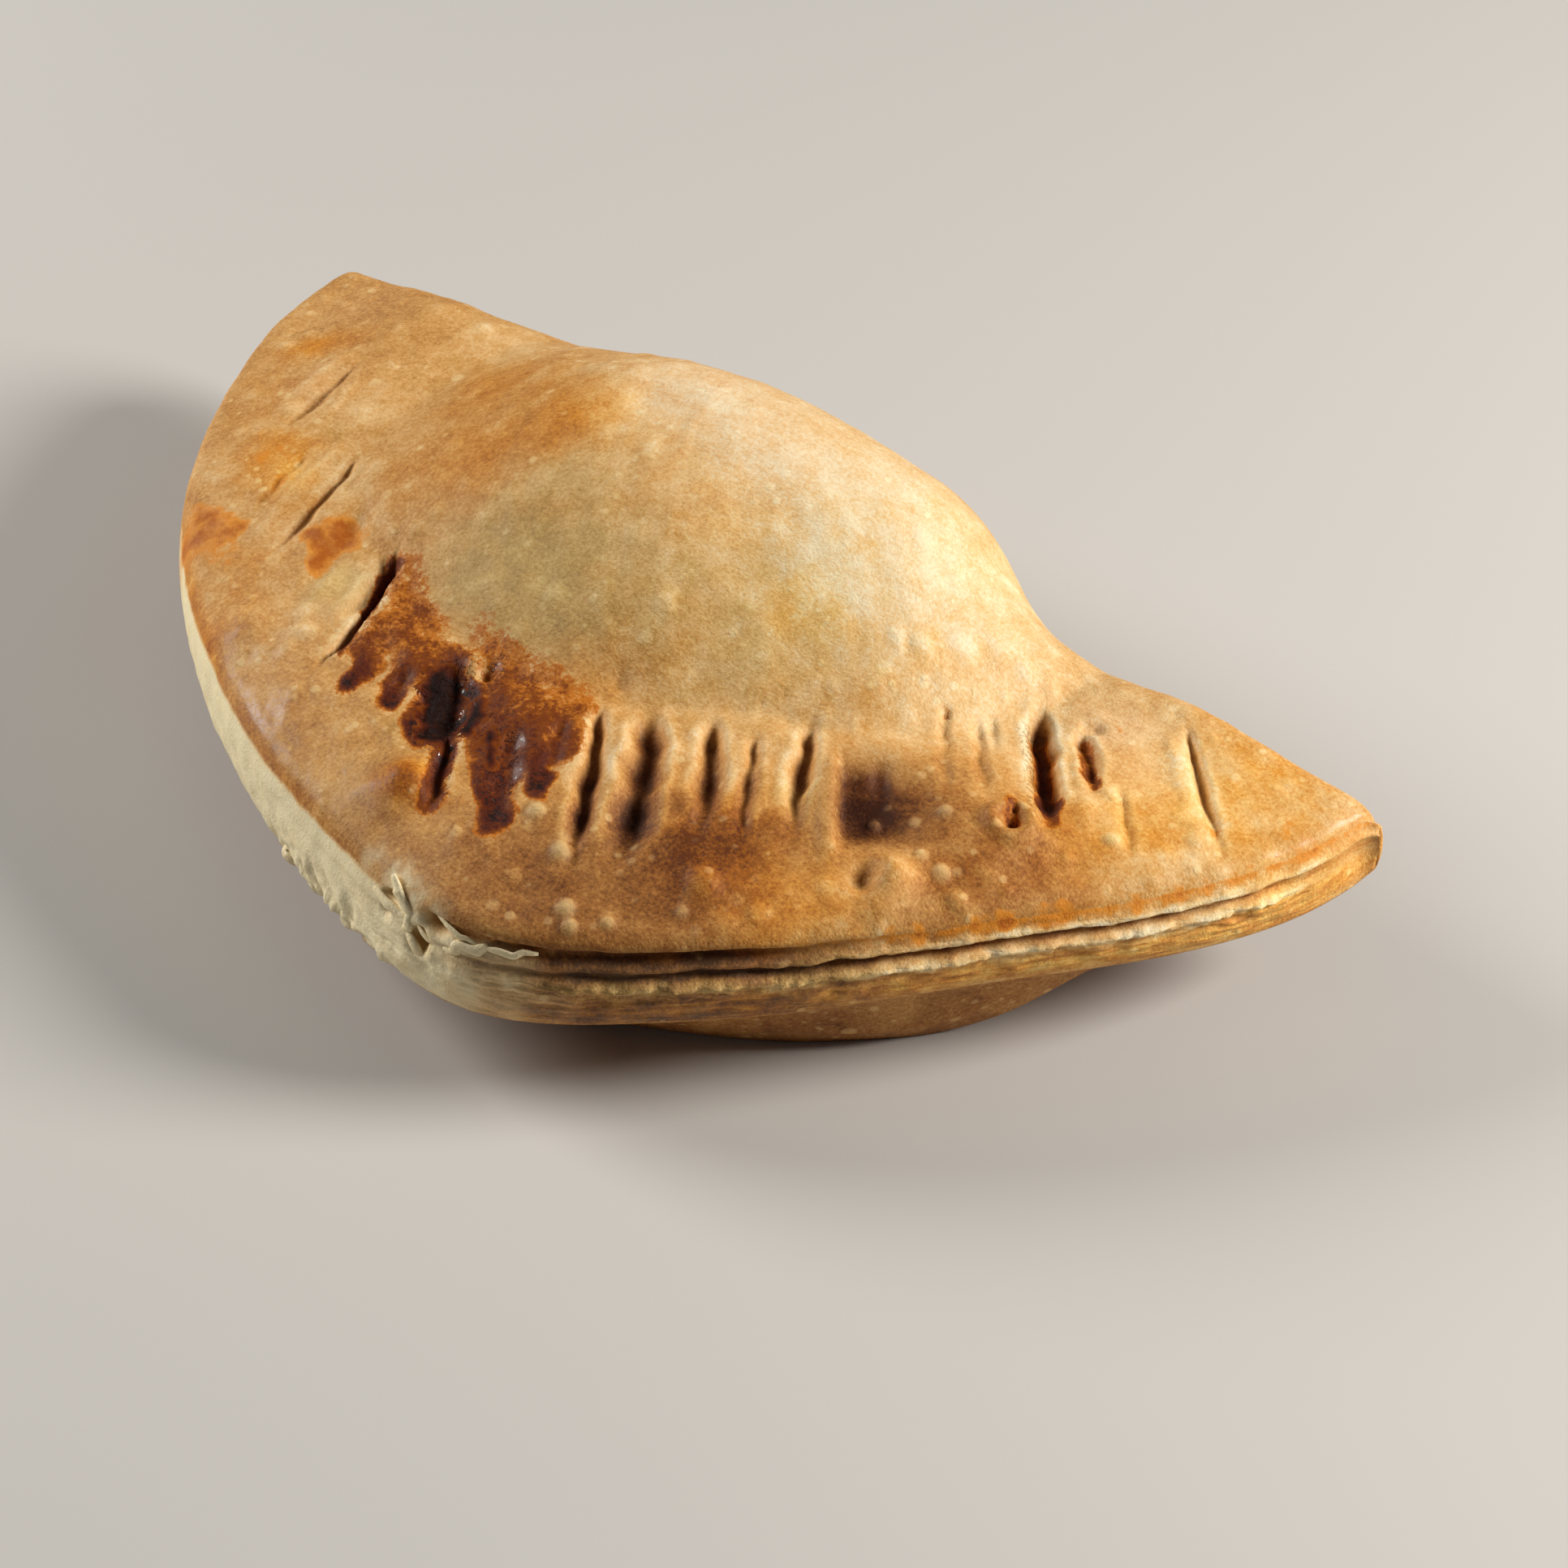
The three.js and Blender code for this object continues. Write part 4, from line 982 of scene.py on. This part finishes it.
class Paint:
    """One material and its nodes."""

    def __init__(self, name):
        self.material = bpy.data.materials.new(name)
        self.material.use_nodes = True
        self.tree = self.material.node_tree
        self.tree.nodes.clear()
        self.place = self.add("ShaderNodeTexCoord", out="Object")

    def add(self, kind, settings=None, sockets=None, out=0):
        """A node of a type: its settings first, then the values or links of its sockets."""
        node = self.tree.nodes.new(kind)
        for key, value in (settings or {}).items():
            if key == "stops":
                self.set_stops(node.color_ramp, value)
            else:
                setattr(node, key, value)
        for key, value in (sockets or {}).items():
            if isinstance(value, Amount):
                self.tree.links.new(value.socket, node.inputs[key])
            else:
                node.inputs[key].default_value = value
        return Amount(self, node.outputs[out] if node.outputs else None)

    def set_stops(self, ramp, stops):
        while len(ramp.elements) < len(stops):
            ramp.elements.new(1.0)
        for element, (position, shade) in zip(ramp.elements, stops):
            element.position, element.color = position, shade

    def field(self, name):
        return self.add("ShaderNodeAttribute", {"attribute_name": name}, out="Fac")

    def noise(self, pitch, detail=2.0, roughness=0.5, place=None):
        """Noise of 0 to 1 with a pitch in millimetres."""
        sockets = {"Vector": place or self.place, "Scale": 1 / (pitch * MM), "Detail": detail,
                   "Roughness": roughness}
        return self.add("ShaderNodeTexNoise", {}, sockets)

    def spots(self, pitch, smallest, largest):
        """Round spots strewn at random, soft at their edges, with radii from smallest to largest in
        pitches of the strewing."""
        sockets = {"Vector": self.place, "Scale": 1 / (pitch * MM)}
        strewn = self.add("ShaderNodeTexVoronoi", {"feature": "F1"}, sockets)
        draw = self.add("ShaderNodeSeparateColor", {}, {"Color": strewn.output("Color")})
        radius = draw * (largest - smallest) + smallest
        return ((radius - strewn) * (2 / largest)).between(0, 1)

    def ramp(self, amount, stops):
        return self.add("ShaderNodeValToRGB", {"stops": stops}, {"Fac": amount})

    def mix(self, share, first, second, way="MIX"):
        settings = {"data_type": "RGBA", "blend_type": way}
        return self.add("ShaderNodeMix", settings, {0: share, 6: first, 7: second}, out=2)

    def finish(self, sockets, height, distance):
        """The shader with its bump, joined to the output."""
        bumped = self.add("ShaderNodeBump", {}, {"Height": height, "Distance": distance})
        shader = self.add("ShaderNodeBsdfPrincipled", {}, {**sockets, "Normal": bumped})
        self.add("ShaderNodeOutputMaterial", {}, {"Surface": shader})
        return self.material


# Crust colours from pale to dark, for tan, golden, olive and rosy dough
TONE_STOPS = (0.0, 0.25, 0.5, 0.75, 1.0)
TAN = [(242, 222, 182), (230, 190, 132), (206, 152, 84), (162, 106, 50), (98, 54, 22)]
GOLD = [(252, 224, 150), (242, 186, 88), (214, 140, 44), (166, 94, 22), (96, 46, 8)]
OLIVE = [(236, 218, 164), (218, 188, 122), (188, 150, 82), (142, 104, 46), (90, 58, 24)]
ROSE = [(250, 226, 188), (238, 196, 146), (210, 156, 104), (164, 106, 62), (100, 54, 28)]
RAW_DOUGH = colour(240, 226, 184)
FLOUR = colour(214, 188, 134)
PALE_SPOT = colour(246, 222, 160)
# Brown multiplied into the hollows: partly browner dough, partly painted shade
HOLLOW_BROWN_AND_SHADE_COLOUR = colour(112, 56, 22)
SCORCH_LIGHT = colour(222, 138, 34)
SCORCH_DARK = colour(164, 78, 10)
STAIN_LIGHT = colour(188, 106, 14)
STAIN_GOLD = colour(120, 56, 4)
STAIN_RED = colour(88, 32, 6)
STAIN_BLACK = colour(30, 9, 4)


# Noises of the crust and the glaze: pitch in millimetres, detail, roughness
BROAD = (8.0, 3.0)
MOTTLE = (2.6, 3.0, 0.6)
FINE = (0.45, 3.0, 0.65)
SPECK = (0.28, 2.0)
LAYER_STREAKS = (0.75, 3.0, 0.6)
STRIAE = (1.0, 3.0, 0.6)
STAIN_PATCHES = (1.3, 4.0, 0.6)
GLINTS = (0.45, 2.0)
GLAZE_PATCHES = (1.4, 4.0, 0.6)
GLAZE_GRAINS = (0.45, 3.0, 0.6)
# Where round pale spots are strewn, as noise
LARGE_SPOTS_WHERE = (14.0, 1.0)
SMALL_SPOTS_WHERE = (6.0, 1.0)
# Round pale spots: pitch, smallest and largest radius in pitches
LARGE_SPOTS = (3.4, 0.06, 0.3)
SMALL_SPOTS = (1.7, 0.05, 0.4)
# Scales of the layers' streaks round the rim and down the wall: they are long round the rim
AROUND_SCALE = 0.12
DOWN_SCALE = 1.0
# What each noise adds to the tone and to the height of the bump
TONE_SHARES = SimpleNamespace(broad=0.2, mottle=0.42, fine=0.55, speck=0.3, layers=0.8, striae=0.5)
BUMP_SHARES = SimpleNamespace(fine=0.5, speck=0.6, mottle=0.2, spots=0.35, layers=2.5, striae=1.2, wet=1.2)

# Finish: roughness where dry, how much smoother and how coated where wet, and the bumps' heights
DRY_ROUGHNESS = 0.64
WET_SMOOTHING = 0.36
WET_COAT = 0.6
CRUST_BUMP = 0.12
GLAZE_BUMP = 0.3


def tones(paint, tone, shades):
    """A ramp through display colours, from pale to dark."""
    return paint.ramp(tone, [(stop, colour(*shade)) for stop, shade in zip(TONE_STOPS, shades)])


def crust_material():
    """Baked dough: four tone ramps from pale to dark blended by place, mottled at four sizes, with
    pale round spots, striae, and floury, raw, scorched and stained places laid over it."""
    paint = Paint("baked_crust")
    broad, mottle = paint.noise(*BROAD) - 0.5, paint.noise(*MOTTLE) - 0.5
    fine, speck = paint.noise(*FINE) - 0.5, paint.noise(*SPECK) - 0.5
    spots = paint.spots(*LARGE_SPOTS) * paint.noise(*LARGE_SPOTS_WHERE).between(0.4, 0.62)
    small_spots = paint.spots(*SMALL_SPOTS) * paint.noise(*SMALL_SPOTS_WHERE).between(0.42, 0.62)
    spots = (spots + small_spots).clamped()
    streak_place = paint.add("ShaderNodeCombineXYZ", {}, {
        "X": paint.field("around") * (AROUND_SCALE * MM), "Y": paint.field("down") * (DOWN_SCALE * MM)})
    layers = paint.noise(*LAYER_STREAKS, streak_place) - 0.5
    striae_place = paint.add("ShaderNodeMapping", {}, {
        "Vector": paint.place, "Rotation": (0, 0, STRIAE_TURN), "Scale": STRIAE_STRETCH})
    striae = paint.noise(*STRIAE, striae_place) - 0.5
    dough, rosy = paint.field("dough"), paint.field("rosy")
    layers = layers * paint.field("layers")
    inside = 1 - paint.field("stain").between(0.1, 0.4)
    shares = TONE_SHARES
    tone = paint.field("tone") + broad * shares.broad + mottle * shares.mottle
    tone = tone + fine * shares.fine + speck * shares.speck
    tone = tone + layers * shares.layers + rosy * striae * shares.striae
    tone = (tone - spots * inside * 0.12).clamped()
    base = tones(paint, tone, TAN)
    golden = (paint.field("gold") + broad * 0.8 + mottle * 0.6).between(0.05, 0.9)
    base = paint.mix(golden, base, tones(paint, tone, GOLD))
    olive = (paint.field("olive") - broad * 0.7 + mottle * 0.6).between(0.05, 0.9)
    base = paint.mix(olive, base, tones(paint, tone, OLIVE))
    base = paint.mix((rosy + mottle * 0.5).between(0.1, 1.0) * 0.8, base, tones(paint, tone, ROSE))
    base = paint.mix(paint.field("flour") * (0.5 + mottle), base, FLOUR)
    base = paint.mix(dough * (0.8 + layers * 0.6), base, RAW_DOUGH)
    base = paint.mix(spots * inside * 0.22, base, PALE_SPOT)
    # Painted shade and browning multiplied into the hollows
    base = paint.mix(paint.field("hollow") * 0.8, base, HOLLOW_BROWN_AND_SHADE_COLOUR, "MULTIPLY")
    scorch = (paint.field("scorch") + mottle * 0.6 + fine * 0.5) * paint.field("scorch").between(0.02, 0.2)
    base = paint.mix(scorch.between(0.05, 0.5) * 0.8, base, SCORCH_LIGHT)
    base = paint.mix(scorch.between(0.4, 1.1) * 0.85, base, SCORCH_DARK)
    patchy = (paint.noise(*STAIN_PATCHES) - 0.5) * 0.7 + fine * 0.5 + speck * 0.3
    stain = paint.field("stain") + patchy * paint.field("stain").between(0.0, 0.15)
    base = paint.mix(stain.between(0.04, 0.24) * 0.92, base, STAIN_LIGHT)
    base = paint.mix(stain.between(0.2, 0.46), base, STAIN_GOLD)
    base = paint.mix(stain.between(0.46, 0.7), base, STAIN_RED)
    base = paint.mix(stain.between(0.68, 0.94), base, STAIN_BLACK)
    shine = paint.field("shine")
    glints = paint.noise(*GLINTS).between(0.54, 0.66)
    wet = (paint.field("wet") * (0.04 + glints * 0.9) + shine * (0.3 + mottle + fine * 1.5)).clamped()
    roughness = DRY_ROUGHNESS - wet * WET_SMOOTHING + fine * 0.3
    shares = BUMP_SHARES
    height = fine * shares.fine + speck * shares.speck + mottle * shares.mottle + spots * shares.spots
    height = height + layers * shares.layers + rosy * striae * shares.striae
    height = height + paint.field("wet") * glints * shares.wet
    return paint.finish({
        "Base Color": base, "Roughness": roughness, "Coat Weight": wet * WET_COAT, "Coat Roughness": 0.2,
        "Specular IOR Level": 0.22}, height, CRUST_BUMP * MM)


def glaze_material():
    """Leaked filling, baked to a dark sticky caramel: red-brown where thin, nearly black where deep."""
    paint = Paint("caramelised_filling")
    patches = paint.noise(*GLAZE_PATCHES)
    thin = paint.field("depth") + patches * 0.9 - 0.5
    base = paint.ramp(thin.clamped(), [(0.0, STAIN_GOLD), (0.4, STAIN_RED), (0.9, STAIN_BLACK)])
    grains = paint.noise(*GLAZE_GRAINS)
    return paint.finish({
        "Base Color": base, "Roughness": 0.6, "Specular IOR Level": 0.12,
        "Coat Weight": grains.between(0.54, 0.64), "Coat Roughness": 0.1}, grains + patches, GLAZE_BUMP * MM)


# ---- Leaked filling on the crust ----
GLAZE_RANGE = ((-13, 12), (-62, -42))
GLAZE_STEP = 0.2
GLAZE_THICKNESS = 0.1
GLAZE_SINK = 1.2
GLAZE_KEEL = 1.2
GLAZE_DEEPEST = 2.0
GLAZE_FULL = 0.6
GLAZE_FRAY = SimpleNamespace(amount=0.3, pitch=1.8, seed=101)
GLAZE_LUMPS = SimpleNamespace(amount=0.04, pitch=1.6, seed=105)
GLAZE_RUNS = [
    (-8.2, -49.8, -4.0, -55.0, 2.6), (1.0, -52.8, 4.2, -56.0, 1.0), (-2.0, -56.0, 0.8, -58.8, 0.8),
    (-3.0, -50.6, -1.2, -53.6, 1.5),
]


def make_glaze(material):
    """A film over the crust: a plan grid whose top is the crust's height plus a frayed thickness
    that falls below the crust outside the runs, over a keel sunk into the crust, closed all round."""
    (x_low, x_high), (y_low, y_high) = GLAZE_RANGE
    across, along = np.arange(x_low, x_high, GLAZE_STEP), np.arange(y_low, y_high, GLAZE_STEP)
    x, y = np.meshgrid(across, along, indexing="ij")
    run = np.max([capsule(x, y, shape)[0] * shape[4] for shape in GLAZE_RUNS], axis=0)
    run = run / GLAZE_DEEPEST + GLAZE_FRAY.amount * cloud(x, y, GLAZE_FRAY.pitch, GLAZE_FRAY.seed)
    inside = np.clip(run, -GLAZE_FULL, GLAZE_FULL)
    lumps = GLAZE_LUMPS.amount * cloud(x, y, GLAZE_LUMPS.pitch, GLAZE_LUMPS.seed) * blend(run, 0, 0.3)
    thickness = np.where(inside > 0, GLAZE_THICKNESS, GLAZE_SINK) * inside + lumps
    crust = top_height(x, y)
    top = np.stack([x, y, crust + thickness], -1)
    keel = np.stack([x, y, crust - GLAZE_KEEL], -1)
    columns, rows = x.shape
    index = np.arange(columns * rows).reshape(columns, rows)
    quads = np.stack([index[:-1, :-1], index[1:, :-1], index[1:, 1:], index[:-1, 1:]], -1).reshape(-1, 4)
    below = index.size
    border = np.concatenate([index[:, 0], index[-1, 1:], index[-2::-1, -1], index[0, -2:0:-1]])
    after = np.roll(border, -1)
    sides = np.stack([border, border + below, after + below, after], -1)
    faces = quads.tolist() + (quads[:, ::-1] + below).tolist() + sides.tolist()
    points = np.vstack([top.reshape(-1, 3), keel.reshape(-1, 3)])
    depth = np.tile(blend(run, 0, 0.8).ravel(), 2)
    return make_piece("leaked_filling", points, faces, {"depth": depth}, material)


# ---- Torn dough round the burst ----
# Strands: rim angle and share of the wall's height at the start and at the end, half width, and how
# far the middle stands off the wall
STRANDS = [
    (274.2, -0.16, 276.9, 0.16, 0.62, 0.5), (276.7, 0.08, 276.5, 0.4, 0.5, 0.4),
    (276.3, 0.3, 278.4, 0.62, 0.6, 0.4), (279.0, -0.03, 283.0, 0.14, 0.34, 0.4),
    (272.0, 0.18, 276.8, 0.2, 0.62, 0.3), (277.2, 0.2, 279.6, 0.36, 0.3, 0.2),
    (277.6, 0.54, 284.2, 0.44, 0.42, 0.3), (279.8, 0.34, 283.8, 0.14, 0.7, 0.25),
    (283.2, 0.14, 287.6, 0.09, 0.4, 0.25), (270.0, 0.5, 275.6, 0.62, 0.7, 0.35),
    (266.5, 0.7, 272.5, 0.84, 0.8, 0.4), (280.6, 0.62, 288.0, 0.62, 0.6, 0.3),
    (262.4, 0.9, 264.2, 1.02, 0.8, 0.8), (268.2, 0.86, 269.4, 1.04, 0.9, 0.9),
    (273.0, 0.88, 273.8, 1.08, 0.8, 0.9), (258.2, 0.92, 259.8, 1.0, 0.8, 0.8),
    (276.0, 0.92, 277.4, 1.02, 0.7, 0.7),
]
STRAND_RINGS = 14
STRAND_SIDES = 12
STRAND_FLATNESS = 0.55
STRAND_SINK = 0.3
STRAND_WANDER = 0.5
STRAND_WAVES = 3
STRAND_SLANT = 0.1
STRAND_SEEDS = (111, 113)
STRAND_END = 0.02
STRAND_TAPER = 0.35
STRAND_UNEVEN = 0.3
STRAND_FIELDS = dict(tone=0.1, dough=0.85, gold=0.1, olive=0.2, layers=0.3)


def wall_place(angle, share, lift):
    """A place on the open edge by rim angle and share of its height, lifted square to the rim."""
    rim = outline_edge((np.asarray(angle) / HALF_TURN - 1) * RIM_SHARE)
    top = top_height(rim.x, rim.y, 0 * rim.x)
    height = top + (bottom_height(rim.x, rim.y) - top) * share[:, None]
    reach = lift[:, None] + WALL_BULGE * arch(np.clip(share, 0, 1))[:, None]
    return np.hstack([rim.x + rim.out_x * reach, rim.y + rim.out_y * reach, height])


def strand_points(strand, seed):
    """A flattened tube from the strand's start to its end, wandering, uneven and sunk at both ends."""
    start, start_share, end, end_share, half, stand_off = strand
    along = np.linspace(0, 1, STRAND_RINGS + 1)
    wander = arch(along) * STRAND_WANDER * grain(along * STRAND_WAVES, 0 * along + seed, STRAND_SEEDS[1])
    angle = start + (end - start) * along + wander
    share = start_share + (end_share - start_share) * along + STRAND_SLANT * wander
    middle = wall_place(angle, share, stand_off * arch(along) - STRAND_SINK)
    forward = np.gradient(middle, axis=0)
    forward /= np.linalg.norm(forward, axis=1, keepdims=True)
    outward = middle * (1, 1, 0)
    side = np.cross(outward / np.linalg.norm(outward, axis=1, keepdims=True), forward)
    side /= np.linalg.norm(side, axis=1, keepdims=True)
    over = np.cross(forward, side)
    turn = np.linspace(0, 2 * np.pi, STRAND_SIDES, endpoint=False)
    round_end = np.sqrt(arch(STRAND_END + (1 - 2 * STRAND_END) * along))
    taper = (STRAND_TAPER + (1 - STRAND_TAPER) * round_end)[:, None]
    lumps = grain(along[:, None] * STRAND_WAVES, 0.5 * np.cos(turn) + seed, STRAND_SEEDS[0])
    uneven = 1 + STRAND_UNEVEN * lumps
    wide = half * taper * uneven * np.cos(turn)
    thick = half * STRAND_FLATNESS * taper * uneven * np.sin(turn)
    return middle[:, None] + side[:, None] * wide[..., None] + over[:, None] * thick[..., None]


def make_torn_dough(material):
    """The torn strands and lumps, each a closed tube with a fan over each end."""
    points, faces = [], []
    for number, strand in enumerate(STRANDS):
        rings = strand_points(strand, number)
        first = sum(len(part) for part in points)
        points.append(np.vstack([rings.reshape(-1, 3), rings[0].mean(0), rings[-1].mean(0)]))
        faces += [[corner + first for corner in face] for face in ring_faces(STRAND_RINGS, STRAND_SIDES)]
    points = np.vstack(points)
    flat = 0 * points[:, 0]
    fields = {name: flat + amount for name, amount in STRAND_FIELDS.items()}
    fields.update(around=points[:, 0], down=points[:, 2])
    return make_piece("torn_dough", points, faces, fields, material)


# ---- Camera, floor and light ----
CAMERA_TURN = 41.225
CAMERA_RAISE = 40
CAMERA_DISTANCE = 500
CAMERA_TARGET = (19.845, -31.139, 15.0)
LENS = 116.8
SENSOR = 36


def direction(turn, rise):
    """Unit vector towards a place at that turn round the object and rise above the horizon."""
    turn, rise = math.radians(turn), math.radians(rise)
    return Vector((math.sin(turn) * math.cos(rise), -math.cos(turn) * math.cos(rise), math.sin(rise)))


def in_frame(x, y, z):
    return Vector((x + PLAN_ORIGIN[0], y + PLAN_ORIGIN[1], z)) * MM


def add_object(name, data, place, back):
    """An object that looks at a place from a distance along a direction."""
    made = bpy.data.objects.new(name, data)
    made.location = place + back
    made.rotation_euler = (-back).to_track_quat("-Z", "Y").to_euler()
    bpy.context.collection.objects.link(made)
    return made


def make_camera():
    lens = bpy.data.cameras.new("camera")
    lens.lens = LENS
    lens.sensor_width = SENSOR
    lens.clip_start = 0.01
    lens.clip_end = 20
    back = direction(CAMERA_TURN, CAMERA_RAISE) * CAMERA_DISTANCE * MM
    bpy.context.scene.camera = add_object("camera", lens, in_frame(*CAMERA_TARGET), back)


# Lamps: name, turn, rise, distance, size (millimetres), power (watts), colour
LAMPS = [
    ("key", 126, 30, 620, 240, 5.0, (1.0, 0.975, 0.94)),
    ("left fill", -74, 28, 700, 320, 4.2, (1.0, 0.98, 0.95)),
]
SKY = colour(214, 218, 224)
SKY_STRENGTH = 0.09
FLOOR_COLOUR = colour(198, 194, 188)
FLOOR_REACH = 3000


def make_lights():
    for name, turn, rise, distance, size, power, tint in LAMPS:
        lamp = bpy.data.lights.new(name, "AREA")
        lamp.shape = "DISK"
        lamp.size = size * MM
        lamp.energy = power
        lamp.color = tint
        add_object(name, lamp, in_frame(0, -32, 15), direction(turn, rise) * distance * MM)
    world = bpy.data.worlds.new("studio")
    world.use_nodes = True
    background = world.node_tree.nodes["Background"]
    background.inputs["Color"].default_value = SKY
    background.inputs["Strength"].default_value = SKY_STRENGTH
    bpy.context.scene.world = world


def make_floor():
    paint = Paint("pale_floor")
    soft = paint.noise(40, 2.0)
    shade = paint.mix(soft * 0.06, FLOOR_COLOUR, colour(190, 186, 180))
    material = paint.finish({"Base Color": shade, "Roughness": 0.7}, soft, 0.05 * MM)
    mesh = bpy.data.meshes.new("floor")
    reach = FLOOR_REACH * MM
    corners = [(-reach, -reach, 0), (reach, -reach, 0), (reach, reach, 0), (-reach, reach, 0)]
    mesh.from_pydata(corners, [], [(0, 1, 2, 3)])
    mesh.materials.append(material)
    floor = bpy.data.objects.new("floor", mesh)
    bpy.context.collection.objects.link(floor)


bpy.context.scene.view_settings.view_transform = "Standard"
make_camera()
make_lights()
make_floor()
crust = crust_material()
make_pastry(crust)
make_torn_dough(crust)
make_glaze(glaze_material())
